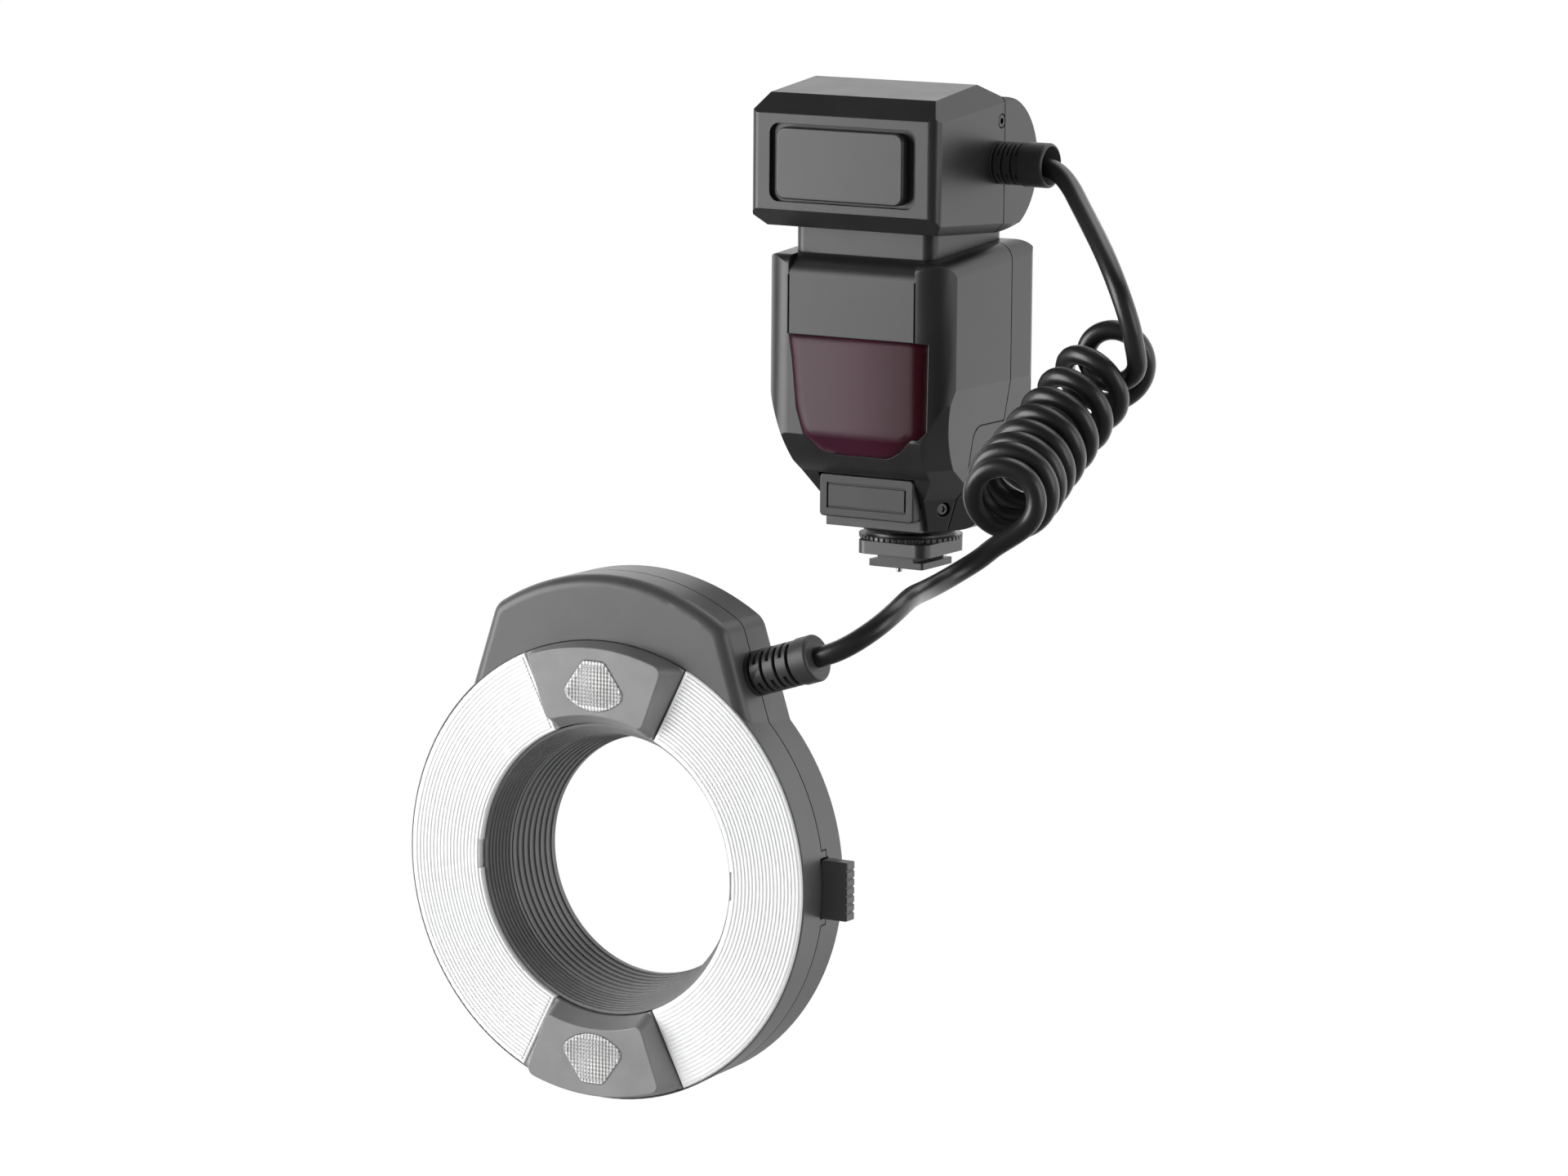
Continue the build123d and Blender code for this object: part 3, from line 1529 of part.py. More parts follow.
def ring_hollow():
    """The two shells of the ring head in one piece, before they are parted."""
    deck_back = ring_front_y + diffuser_t - diffuser_proud + ledge_t
    deck_front = ring_front_y + diffuser_t - diffuser_proud
    inner_back = ring_back_y - ring_wall
    drum_r = ring_back_r - ring_wall
    with BuildPart() as shell:
        add(ring_form())
        add(ring_band(0, bore_wall_r, ring_back_y + overrun, ring_front_y - overrun), mode=Mode.SUBTRACT)
        add(ring_band(0, diffuser_out_r + seat_gap, deck_front, ring_front_y - overrun), mode=Mode.SUBTRACT)
        add(ring_band(bore_wall_r + bore_wall_t, drum_r, inner_back, deck_back), mode=Mode.SUBTRACT)
        for side in (1, -1):
            with BuildSketch(ring_plane(deck_back + overrun)):
                add(window_sector(ledge_w))
                if side < 0:
                    mirror(about=Plane.YZ, mode=Mode.REPLACE)
            extrude(amount=2 * overrun, mode=Mode.SUBTRACT)
        with BuildSketch(ring_plane(inner_back)):
            add(hood_outline(ring_wall))
            Circle(ring_r, mode=Mode.SUBTRACT)
        extrude(amount=inner_back - ring_front_y - ring_wall, mode=Mode.SUBTRACT)
        add(block(-screw_hex_r * 6, screw_hex_r * 6, trigger_y - overrun, trigger_y + board_t,
                  ring_z + drum_r - ledge_w, ring_z + ring_r + ledge_w), mode=Mode.SUBTRACT)
        for side in (-1, 1):
            add(button_slot(side), mode=Mode.SUBTRACT)
        add(claw_slots(), mode=Mode.SUBTRACT)
        add(rod(along_boot(-2 * overrun), boot_direction(), boot_neck_r + seat_gap, 4 * overrun),
            mode=Mode.SUBTRACT)
        add(ring_seam_groove(), mode=Mode.SUBTRACT)
    return shell.part


def ring_screw_places():
    return [(ring_screw_path_r * cos(radians(a)), ring_screw_path_r * sin(radians(a)))
            for a in ring_screw_angles]


def ring_front_shell(hollow, zone):
    with BuildPart() as shell:
        add(hollow)
        add(zone, mode=Mode.INTERSECT)
    return shell.part


def ring_rear_shell(hollow, zone):
    with BuildPart() as shell:
        add(hollow)
        add(zone, mode=Mode.SUBTRACT)
        with BuildSketch(ring_plane(ring_back_y - screw_deep)):
            with Locations(*ring_screw_places()):
                Circle(ring_screw_r + seat_gap)
        extrude(amount=-overrun, mode=Mode.SUBTRACT)
        for side in (-1, 1):
            add(rod((side * trigger_half * 3 / 4, ring_back_y - ring_wall, ring_z + (trigger_low_z
                + trigger_high_z) / 2), (0, -1, 0), screw_r, -ring_wall - trigger_y - board_t + ring_back_y))
    return shell.part


def ring_screws():
    with BuildPart() as screws:
        for x, z in ring_screw_places():
            center = (x, ring_back_y - screw_deep, ring_z + z)
            add(rod(center, (0, 1, 0), ring_screw_r, screw_deep * 2 / 3))
            with BuildSketch(Plane(origin=center, z_dir=(0, 1, 0)).offset(screw_deep / 3)):
                Rectangle(2 * screw_hex_r, screw_hex_r / 2)
                Rectangle(screw_hex_r / 2, 2 * screw_hex_r)
            extrude(amount=overrun, mode=Mode.SUBTRACT)
    return screws.part


def diffuser(side):
    """Flash window: a sector plate with a small notch halfway down its inner edge."""
    with BuildPart() as window:
        with BuildSketch(ring_plane(ring_front_y + diffuser_t - diffuser_proud)):
            add(window_sector(0))
            with Locations((diffuser_in_r, 0)):
                Rectangle(2 * notch_deep, 2 * notch_half, mode=Mode.SUBTRACT)
            if side < 0:
                mirror(about=Plane.YZ, mode=Mode.REPLACE)
        extrude(amount=diffuser_t)
        fillet(window.faces().sort_by(Axis.Y)[0].edges(), diffuser_proud)
    return window.part


def radial_plane(angle):
    """Plane through the ring's axis at an angle from +X: radius across, depth up."""
    a = radians(angle)
    return Plane(origin=(0, 0, ring_z), x_dir=(cos(a), 0, sin(a)), z_dir=(-sin(a), 0, cos(a)))


def deck_back_y():
    return ring_front_y + diffuser_t - diffuser_proud + ledge_t


def reflector(side):
    """Trough behind a flash window, with a flange that seats on the window's ledge."""
    front = deck_back_y()
    back = front + reflector_deep
    middle = 0 if side > 0 else 180
    with BuildPart() as trough:
        with BuildSketch(radial_plane(middle + reflector_half_angle)):
            with BuildLine():
                Polyline((reflector_in_r, front), (tube_path_r - tube_cap_r - reflector_t, back),
                         (tube_path_r + tube_cap_r + reflector_t, back), (reflector_out_r, front),
                         (reflector_out_r - reflector_t, front), (tube_path_r + tube_cap_r, back - reflector_t),
                         (tube_path_r - tube_cap_r, back - reflector_t), (reflector_in_r + reflector_t, front),
                         close=True)
            make_face()
        revolve(axis=ring_axis, revolution_arc=2 * reflector_half_angle)
    return trough.part


def flash_tube(side):
    """Glass tube bent round the ring, with a metal cap at each end."""
    middle = 0 if side > 0 else 180
    tube_y = deck_back_y() + reflector_deep - reflector_t - tube_cap_r
    cap_angle = degrees(tube_cap_l / tube_path_r)
    with BuildPart() as tube:
        for start, arc, r in ((tube_half_angle, 2 * tube_half_angle, tube_r),
                              (tube_half_angle, cap_angle, tube_cap_r),
                              (cap_angle - tube_half_angle, cap_angle, tube_cap_r)):
            with BuildSketch(radial_plane(middle + start)):
                with Locations((tube_path_r, tube_y)):
                    Circle(r)
            revolve(axis=ring_axis, revolution_arc=arc)
    return tube.part


def lens_outline(grow):
    with BuildSketch() as lens:
        with BuildLine():
            Polyline((-lens_wide_half, lens_wide_z), (-lens_top_half, lens_top_z),
                     (lens_top_half, lens_top_z), (lens_wide_half, lens_wide_z))
            ThreePointArc((lens_wide_half, lens_wide_z), (0, lens_low_z), (-lens_wide_half, lens_wide_z))
        make_face()
        fillet(lens.vertices(), lens_r)
        if grow:
            offset(amount=grow, kind=Kind.INTERSECTION)
    return lens.sketch_local


def block_outline(r_in, r_out, x_in, x_out):
    """Sector between the ends of the two flash windows, above the ring's centre."""
    with BuildSketch() as outline:
        with BuildLine():
            z_in = sqrt(r_in ** 2 - x_in ** 2)
            z_out = sqrt(r_out ** 2 - x_out ** 2)
            ThreePointArc((-x_in, z_in), (0, r_in), (x_in, z_in))
            Line((x_in, z_in), (x_out, z_out))
            ThreePointArc((x_out, z_out), (0, r_out), (-x_out, z_out))
            Line((-x_out, z_out), (-x_in, z_in))
        make_face()
    return outline.sketch_local


def lens_face_y():
    return ring_front_y - diffuser_proud - block_rise


def lamp_block(side):
    """Drafted block that stands out between the flash windows, pocketed for lamp and lens."""
    base_y = ring_front_y - diffuser_proud
    deck_y = deck_back_y() - ledge_t
    lens_back = lens_face_y() - lens_proud + lens_t
    base = block_outline(block_in_r, block_out_r, diffuser_in_x - block_gap, diffuser_out_x - block_gap)
    with BuildPart() as lamp:
        with BuildSketch(ring_plane(base_y)):
            add(base)
        with BuildSketch(ring_plane(lens_face_y())):
            add(block_outline(block_face_in_r, block_face_out_r, block_face_in_x, block_face_out_x))
        loft(ruled=True)
        slanted = [e for e in lamp.edges() if abs(e.position_at(0).Y - e.position_at(1).Y) > block_rise / 2]
        fillet(slanted, block_face_r)
        fillet(lamp.faces().sort_by(Axis.Y)[0].edges(), seam_width)
        with BuildSketch(ring_plane(deck_y)):
            add(base)
        extrude(amount=deck_y - base_y)
        with BuildSketch(ring_plane(deck_y)):
            add(lens_outline(lens_seat))
        extrude(amount=deck_y - lens_back - lens_seat, mode=Mode.SUBTRACT)
        with BuildSketch(ring_plane(deck_y)):
            add(lens_outline(-lens_seat))
        extrude(amount=deck_y - lens_face_y() + overrun, mode=Mode.SUBTRACT)
        with BuildSketch(ring_plane(lens_back)):
            add(lens_outline(seat_gap))
        extrude(amount=overrun, mode=Mode.SUBTRACT)
    if side > 0:
        return lamp.part
    return lamp.part.mirror(Plane.XY.offset(ring_z))


def lamp_lens(side):
    with BuildPart() as lens:
        with BuildSketch(ring_plane(lens_face_y() - lens_proud + lens_t)):
            add(lens_outline(0))
        extrude(amount=lens_t)
        fillet(lens.faces().sort_by(Axis.Y)[0].edges(), lens_proud)
    if side > 0:
        return lens.part
    return lens.part.mirror(Plane.XY.offset(ring_z))


def lamp_boards():
    """A small board in each block, with the light emitting diode under the lens."""
    deck_y = deck_back_y() - ledge_t
    with BuildPart() as board:
        with BuildSketch(ring_plane(deck_y)):
            add(lens_outline(lens_seat - fit_gap))
        extrude(amount=led_board_t)
        with BuildSketch(ring_plane(deck_y - led_board_t)):
            with Locations((0, (lens_low_z + lens_top_z) / 2)):
                Circle(led_r)
        extrude(amount=led_h)
        mirror(about=Plane.XY.offset(ring_z))
    return board.part


def release_button(side):
    """Ribbed push button whose claw ring reaches round the lens to the far side."""
    index = 0 if side > 0 else 1
    back = slider_first_y - index * slider_pitch
    out_x = button_out_x if side > 0 else button_left_x
    with BuildPart() as button:
        with BuildSketch(ring_plane(back)):
            Circle(slider_out_r)
            with Locations(((slider_in_r + button_in_x) / 2, 0)):
                Rectangle(button_in_x - slider_in_r, 2 * slider_stem_half)
            Circle(slider_in_r, mode=Mode.SUBTRACT)
            with Locations((-(claw_r + slider_out_r) / 2, 0)):
                Rectangle(slider_out_r - claw_r, 2 * claw_half)
            Circle(claw_r, mode=Mode.SUBTRACT)
        extrude(amount=slider_t)
        with BuildSketch(ring_plane(button_back_y)):
            with Locations(((button_in_x + out_x) / 2, 0)):
                RectangleRounded(out_x - button_in_x, 2 * button_half, seam_width)
            rib_pitch = 2 * button_half / (button_ribs + 1)
            with Locations(*[(out_x, rib_pitch * (i - (button_ribs - 1) / 2))
                             for i in range(button_ribs)]):
                Circle(button_rib_r, mode=Mode.SUBTRACT)
        extrude(amount=button_back_y - button_front_y)
    if side > 0:
        return button.part
    return button.part.mirror(Plane.YZ)


def bore_liner():
    """Lens tunnel: a tube whose inside narrows to the back in fine steps."""
    length = (liner_back_y - liner_front_y) / (liner_steps + 1)
    points = [(liner_out_r, liner_back_y), (liner_out_r, liner_front_y)]
    for i in range(liner_steps + 1):
        r = liner_in_r - i * liner_step
        points.append((r, liner_front_y + i * length))
        points.append((r, liner_front_y + (i + 1) * length))
    with BuildPart() as liner:
        with BuildSketch(Plane(origin=(0, 0, ring_z))):
            with BuildLine():
                Polyline(*points, close=True)
            make_face()
        revolve(axis=ring_axis)
    return liner.part


def adapter_ring():
    """Metal ring that the claws hold: groove outside, filter thread at the back."""
    thread_y = adapter_back_y + thread_l
    run = (thread_y - adapter_front_y) / (adapter_steps + 1)
    narrow = (adapter_mouth_r - adapter_bore_r) / adapter_steps
    steps = []
    for i in range(adapter_steps, -1, -1):
        r = adapter_mouth_r - i * narrow
        steps.append((r, adapter_front_y + (i + 1) * run))
        steps.append((r, adapter_front_y + i * run))
    with BuildPart() as adapter:
        with BuildSketch(Plane(origin=(0, 0, ring_z))):
            with BuildLine():
                Polyline((adapter_mouth_r, adapter_front_y), (adapter_r, adapter_front_y),
                         (adapter_r, groove_front_y - fit_gap), (adapter_groove_r, groove_front_y - fit_gap),
                         (adapter_groove_r, groove_back_y + fit_gap), (adapter_r, groove_back_y + fit_gap),
                         (adapter_r, adapter_back_y), (thread_r, adapter_back_y),
                         (thread_r, thread_y), *steps)
            make_face()
        revolve(axis=ring_axis)
        chamfer(adapter.edges().filter_by(GeomType.CIRCLE).sort_by(Axis.Y)[-2:], seam_width)
    return adapter.part


def trigger_board():
    middle_z = ring_z + (trigger_low_z + trigger_high_z) / 2
    with BuildPart() as board:
        add(block(-trigger_half, trigger_half, trigger_y, trigger_y + board_t,
                  ring_z + trigger_low_z, ring_z + trigger_high_z))
        add(block(-transformer_w / 4, transformer_w / 4, trigger_y - transformer_h / 2, trigger_y,
                  middle_z - transformer_h / 4, middle_z + transformer_h / 4))
    return board.part


# Lead, its boots and its coil
def boot(origin, direction, length, collar_l, slots, pitch, mouth):
    """Strain relief: staggered slots round a sleeve, then a plain collar."""
    place = Plane(origin=origin, z_dir=direction)
    slot_t = pitch * boot_slot_share
    span = 180 - boot_bridge
    with BuildPart() as sleeve:
        with BuildSketch(place.offset(-shell_wall)):
            Circle(boot_neck_r)
        extrude(amount=shell_wall)
        with BuildSketch(place):
            Circle(boot_r)
        extrude(amount=length - collar_l)
        with BuildSketch(place.offset(length - collar_l)):
            Circle(boot_collar_r)
        extrude(amount=collar_l)
        fillet(sleeve.edges().filter_by(GeomType.CIRCLE).sort_by_distance(
            place.offset(length).origin)[0], boot_collar_r / 8)
        for i in range(slots):
            middle = (length - collar_l) / 2 + (i - (slots - 1) / 2) * pitch
            with BuildSketch(place.offset(middle - slot_t / 2)):
                Circle(boot_r + overrun)
                Circle(boot_r - boot_slot_deep, mode=Mode.SUBTRACT)
                with PolarLocations(0, 2, start_angle=90 * (i % 2)):
                    Polygon((0, 0), (2 * boot_collar_r, -2 * boot_collar_r * tan(radians(boot_bridge / 2))),
                            (2 * boot_collar_r, 2 * boot_collar_r * tan(radians(boot_bridge / 2))),
                            align=None, mode=Mode.SUBTRACT)
            extrude(amount=slot_t, mode=Mode.SUBTRACT)
        if mouth:
            with BuildSketch(place.offset(length - mouth)):
                Circle(cord_d / 2)
            with BuildSketch(place.offset(length)):
                Circle(boot_collar_r - boot_slot_deep / 2)
            loft(mode=Mode.SUBTRACT)
    return sleeve.part


def head_boot():
    return boot((head_half, head_boot_y, head_boot_z), (1, 0, 0), head_boot_end_x - head_half,
                boot_collar_l, head_boot_slots, head_boot_pitch, head_boot_mouth)


def ring_boot():
    return boot(along_boot(0), boot_direction(), ring_boot_l, ring_boot_collar_l,
                ring_boot_slots, ring_boot_pitch, 0)


def ease(x):
    """Smooth step from 0 to 1."""
    x = min(max(x, 0.0), 1.0)
    return x * x * (3 - 2 * x)


def coil_frame():
    """Axes of the coil: its run, the way its turns face, the third one and the sideways one."""
    az, el, roll = radians(coil_azimuth), radians(coil_elevation), radians(coil_roll)
    toward = Vector(sin(az) * cos(el), -cos(az) * cos(el), sin(el))
    level = Vector(cos(az), sin(az), 0)
    up = toward.cross(level)
    side = level * cos(roll) + up * sin(roll)
    rise = up * cos(roll) - level * sin(roll)
    run = (side * coil_run_across + rise * coil_run_down).normalized()
    return run, toward, run.cross(toward), side


def coil_point(t):
    """Centre line of the coil at t turns from its start."""
    run, toward, across, side = coil_frame()
    s = t + ease((coil_hold_end - t) / coil_hold_span) * (coil_hold - t)
    advance = coil_step * (s - coil_start_turn) - coil_close * s * s - seam_width * 2.5
    forward = coil_toward * s + coil_toward_rise * s ** 3
    lift = (coil_lift * ease(1 - t / coil_lift_span)
            - coil_sink * ease(1 - abs(t - coil_sink_turn) / coil_sink_span))
    r = (coil_r + coil_r_growth * t - coil_end_draw * ease(t - coil_end_turn)
         - coil_start_draw * ease((coil_lift_span - t) / coil_start_span))
    tilt = radians(coil_tilt + coil_tilt_rise * t + coil_tilt_curve * t * t
                   + coil_tilt_start * ease((coil_tilt_end - t) / coil_tilt_span))
    phase = radians(coil_phase + 360 * t)
    middle = (Vector(*coil_base) + run * advance + toward * (forward + lift)
              + side * (coil_aside * ease((coil_aside_end - t) / coil_aside_span)))
    inward = toward * cos(tilt) - run * sin(tilt)
    return middle + (across * cos(phase) + inward * sin(phase)) * r


def coil_tangent(t):
    step = 0.001
    return (coil_point(t + step) - coil_point(t - step)).normalized()


def coil_ends():
    """Where the coil's straight ends stop, one diameter beyond its first and last turn."""
    return (coil_point(0) - coil_tangent(0) * cord_d,
            coil_point(coil_turns) + coil_tangent(coil_turns) * cord_d)


def coil_path():
    """Straight end, a pair of arcs for each quarter turn, straight end."""
    start, end = coil_ends()
    with BuildLine() as path:
        Line(start, coil_point(0))
        for i in range(coil_stations):
            a = coil_turns * i / coil_stations
            b = coil_turns * (i + 1) / coil_stations
            p, q = coil_point(a), coil_point(b)
            u, w = coil_tangent(a), coil_tangent(b)
            v = q - p
            k = 2 * (1 - u.dot(w))
            m = 2 * v.dot(u + w)
            d = (-m + sqrt(m * m + 4 * k * v.dot(v))) / (2 * k)
            near = p + u * d
            far = q - w * d
            joint = (near + far) * 0.5
            TangentArc(p, joint, tangent=u)
            TangentArc(joint, q, tangent=(far - near).normalized())
        Line(coil_point(coil_turns), end)
    return path.wires()[0]


def least_gap(path):
    """Least distance between the skins of strands at least half a turn apart."""
    arcs = path.edges()
    points = [e.position_at(j / coil_samples) for e in arcs[1:-1] for j in range(coil_samples)]
    skip = int(1.1 * coil_samples * len(arcs) / coil_turns / 2)
    best = reach
    for i in range(0, len(points), 2):
        for j in range(i + skip, len(points), 2):
            best = min(best, (points[i] - points[j]).length)
    return best - cord_d


def cord_coil():
    path = coil_path()
    print("coil length", round(path.length, 1), "least gap", round(least_gap(path), 2))
    with BuildPart() as coil:
        with BuildSketch(Plane(origin=path.position_at(0), z_dir=coil_tangent(0))):
            Circle(cord_d / 2)
        sweep(path=path)
    return coil.part


def cord_tube(points):
    """Straight runs joined by the widest arcs that they allow."""
    runs = [Vector(*b) - Vector(*a) for a, b in zip(points, points[1:])]
    radii = []
    for a, b in zip(runs, runs[1:]):
        turn = radians(a.get_angle(b))
        radii.append(bend_share * min(a.length, b.length) / tan(turn / 2))
    print("cord radii", [round(r, 1) for r in radii])
    with BuildLine() as line:
        FilletPolyline(*points, radius=radii)
    path = line.wires()[0]
    with BuildPart() as tube:
        with BuildSketch(Plane(origin=points[0], z_dir=runs[0])):
            Circle(cord_d / 2)
        sweep(path=path)
    print("cord length", round(path.length, 1), "volume over section times length",
          round(tube.part.volume / (pi * cord_d ** 2 / 4 * path.length), 4))
    return tube.part


def cord_upper():
    start, end = coil_ends()
    return cord_tube(upper_route + [tuple(start - coil_tangent(0) * run_in), tuple(start)])


def cord_lower():
    start, end = coil_ends()
    return cord_tube([tuple(end), tuple(end + coil_tangent(coil_turns) * run_in)] + lower_route
                     + [along_boot(ring_boot_l + run_in), along_boot(ring_boot_l)])


def make_unit():
    hollow = body_hollow()
    zone = body_seam_zone()
    save("body_front_shell", body_front_shell(hollow, zone))
    save("body_rear_shell", body_rear_shell(hollow, zone))
    save("af_window", af_window())
    save("front_screws", front_screws())
    save("neck_collar", neck_collar())
    head = head_hollow()
    save("head_front_shell", head_front_shell(head, head_seam_zone()))
    save("head_rear_shell", head_rear_shell(head, head_seam_zone()))
    for make in (head_front_plate, head_screws, head_board, port_cover, port_sockets, battery_door,
                 door_hinge_pin, door_contacts, chassis, aa_cells, battery_contacts, main_capacitor,
                 main_board, lcd_module, lcd_window, set_button, select_dial, power_switch,
                 test_button, af_lamp):
        save(make.__name__, make())
    for index, name in enumerate(("mode_button", "lamp_button", "ratio_button")):
        save(name, rear_key(index))


def make_foot():
    for make in (foot_plate, foot_contacts, lock_pin, lock_plate, lock_wheel, pedestal):
        save(make.__name__, make())


def make_ring():
    hollow = ring_hollow()
    zone = ring_seam_zone()
    save("ring_front_shell", ring_front_shell(hollow, zone))
    save("ring_rear_shell", ring_rear_shell(hollow, zone))
    for name, side in (("left", -1), ("right", 1)):
        save(f"{name}_diffuser", diffuser(side))
        save(f"{name}_reflector", reflector(side))
        save(f"{name}_flash_tube", flash_tube(side))
        save(f"{name}_release_button", release_button(side))
    for name, side in (("top", 1), ("bottom", -1)):
        save(f"{name}_lamp_block", lamp_block(side))
        save(f"{name}_lamp_lens", lamp_lens(side))
    for make in (lamp_boards, bore_liner, adapter_ring, trigger_board, ring_screws, ring_boot):
        save(make.__name__, make())


def make_lead():
    for make in (head_boot, cord_upper, cord_coil, cord_lower):
        save(make.__name__, make())


make_unit()
make_foot()
make_ring()
make_lead()
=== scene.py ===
# Looks for the macro ring flash: materials, the ribbed flash windows, the prismatic lamp lenses,
# the lead with its coil, studio light and the camera. Everything stands in the CAD's frame.
# Lengths are in metres, but for the lead's, which are in millimetres and scaled by MM.
from math import asin, cos, pi, radians, sin, sqrt

import bmesh
import bpy
from mathutils import Matrix, Vector


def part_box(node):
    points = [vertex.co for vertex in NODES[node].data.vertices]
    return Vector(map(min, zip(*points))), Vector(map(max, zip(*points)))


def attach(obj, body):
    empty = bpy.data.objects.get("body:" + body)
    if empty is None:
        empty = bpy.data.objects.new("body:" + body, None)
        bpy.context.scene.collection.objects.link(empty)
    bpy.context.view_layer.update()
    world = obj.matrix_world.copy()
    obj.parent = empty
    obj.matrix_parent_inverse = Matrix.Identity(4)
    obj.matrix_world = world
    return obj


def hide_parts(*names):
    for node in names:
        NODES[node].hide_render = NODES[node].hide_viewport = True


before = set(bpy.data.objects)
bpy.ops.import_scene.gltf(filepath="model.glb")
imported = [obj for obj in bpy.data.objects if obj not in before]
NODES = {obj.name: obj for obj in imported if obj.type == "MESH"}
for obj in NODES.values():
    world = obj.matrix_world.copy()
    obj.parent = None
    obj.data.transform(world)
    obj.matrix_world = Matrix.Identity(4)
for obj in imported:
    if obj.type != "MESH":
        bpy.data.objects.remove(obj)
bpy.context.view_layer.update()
SCENE = bpy.context.scene
MM = 0.001


# Camera: where the photograph was taken from
AZ, EL, ROLL = radians(31.194), radians(9.110), radians(0.475)
CAMERA_AT = (0.94487, -1.63338, 0.29497)
SENSOR = 36.0             # mm
FOCAL_PX = 7824           # focal length in pixels of the photograph
PHOTO_WIDE = 1920         # pixels
FAR = 20.0

TOWARD = Vector((sin(AZ) * cos(EL), -cos(AZ) * cos(EL), sin(EL)))
LEVEL = Vector((cos(AZ), sin(AZ), 0))
STEEP = TOWARD.cross(LEVEL)
RIGHT = LEVEL * cos(ROLL) + STEEP * sin(ROLL)
RISE = STEEP * cos(ROLL) - LEVEL * sin(ROLL)


def add_camera():
    data = bpy.data.cameras.new("camera")
    data.sensor_width = SENSOR
    data.lens = SENSOR * FOCAL_PX / PHOTO_WIDE
    data.clip_end = FAR
    camera = bpy.data.objects.new("camera", data)
    place = Matrix((RIGHT, RISE, TOWARD)).transposed().to_4x4()
    place.translation = Vector(CAMERA_AT)
    camera.matrix_world = place
    SCENE.collection.objects.link(camera)
    SCENE.camera = camera
    SCENE.view_settings.view_transform = "Standard"


add_camera()


# The lead, in mm: the route from the head's boot to the coil and from the coil to the ring's boot
CORD_D = 5.8
UPPER = [(42.0, -5.5, 122.4), (45.2, -5.5, 122.4), (49.0, -6.0, 121.8), (53.4, -7.3, 120.2),
         (58.5, -10.4, 116.8), (64.2, -15.6, 112.6), (70.6, -21.8, 108.5), (77.0, -28.1, 104.4),
         (82.9, -33.9, 100.2), (87.7, -38.1, 95.6), (91.2, -40.2, 90.6), (93.4, -40.5, 85.6)]
LOWER = [(79.1, -97.8, 21.2), (75.6, -101.4, 18.3), (72.9, -106.9, 15.7), (72.0, -115.0, 14.1),
         (73.6, -124.1, 14.1), (76.4, -133.3, 14.1), (78.2, -142.1, 12.5), (76.7, -149.1, 9.0),
         (72.9, -153.8, 5.3), (69.1, -155.9, 2.8)]
RUN_IN = 3.7              # straight length before and after each end of the coil, and at the boot
HOOD_LEAN = radians(18)   # the hood's side leans so far, and the ring's boot stands square on it
HOOD_HALF = 45.9          # the hood's half width at the root of its side
BOOT_OVER_ROOT = 11.8     # height of the boot over that root
BOOT_Y, BOOT_Z = -156.8, -6.5
BOOT_L = 20.8

# The coil: lengths in mm, places along it in turns from its start, angles in degrees
TURNS, PER_TURN = 9.18, 16
COIL_RUN = (RIGHT * -0.62 + RISE * -0.785).normalized()
COIL_ACROSS = COIL_RUN.cross(TOWARD)
COIL_BASE = Vector((80.46, -28.0, 68.32))
STEP, CLOSE, BACK = 10.3, 0.40, 1.0                  # advance of a turn, less as the turns close up
START_TURN, HOLD, HOLD_END = 0.875, 0.9, 1.5         # the first turns advance no more than this
FORWARD, FORWARD_RISE = 4.7, 0.014                   # towards the viewer
LIFT, LIFT_SPAN = 9.0, 0.75                          # the first turn starts nearer the viewer
SINK, SINK_TURN, SINK_SPAN = 2.0, 1.25, 0.55         # and goes back behind the second
ASIDE, ASIDE_END, ASIDE_SPAN = 1.6, 1.6, 0.8
COIL_R, COIL_R_GROWTH = 9.9, 0.2
END_DRAW, END_TURN = 2.3, 7.9                        # the last turn is so much smaller
START_DRAW, START_SPAN = 3.8, 0.6
TILT, TILT_RISE, TILT_CURVE = 34, 0.55, 0.35
START_TILT, START_TILT_END, START_TILT_SPAN = 24, 1.8, 0.7
PHASE = 135


def ease(x):
    """Smooth step from 0 to 1."""
    x = min(max(x, 0.0), 1.0)
    return x * x * (3 - 2 * x)


def coil_point(t):
    """Centre line of the coil, in mm, at t turns from its start."""
    s = t + ease(HOLD_END - t) * (HOLD - t)
    advance = STEP * (s - START_TURN) - CLOSE * s * s - BACK
    forward = (FORWARD * s + FORWARD_RISE * s ** 3 + LIFT * ease(1 - t / LIFT_SPAN)
               - SINK * ease(1 - abs(t - SINK_TURN) / SINK_SPAN))
    r = (COIL_R + COIL_R_GROWTH * t - END_DRAW * ease(t - END_TURN)
         - START_DRAW * ease((LIFT_SPAN - t) / START_SPAN))
    tilt = radians(TILT + TILT_RISE * t + TILT_CURVE * t * t
                   + START_TILT * ease((START_TILT_END - t) / START_TILT_SPAN))
    phase = radians(PHASE + 360 * t)
    middle = (COIL_BASE + COIL_RUN * advance + TOWARD * forward
              + RIGHT * (ASIDE * ease((ASIDE_END - t) / ASIDE_SPAN)))
    inward = TOWARD * cos(tilt) - COIL_RUN * sin(tilt)
    return middle + (COIL_ACROSS * cos(phase) + inward * sin(phase)) * r


def coil_tangent(t, step=0.001):
    return (coil_point(t + step) - coil_point(t - step)).normalized()


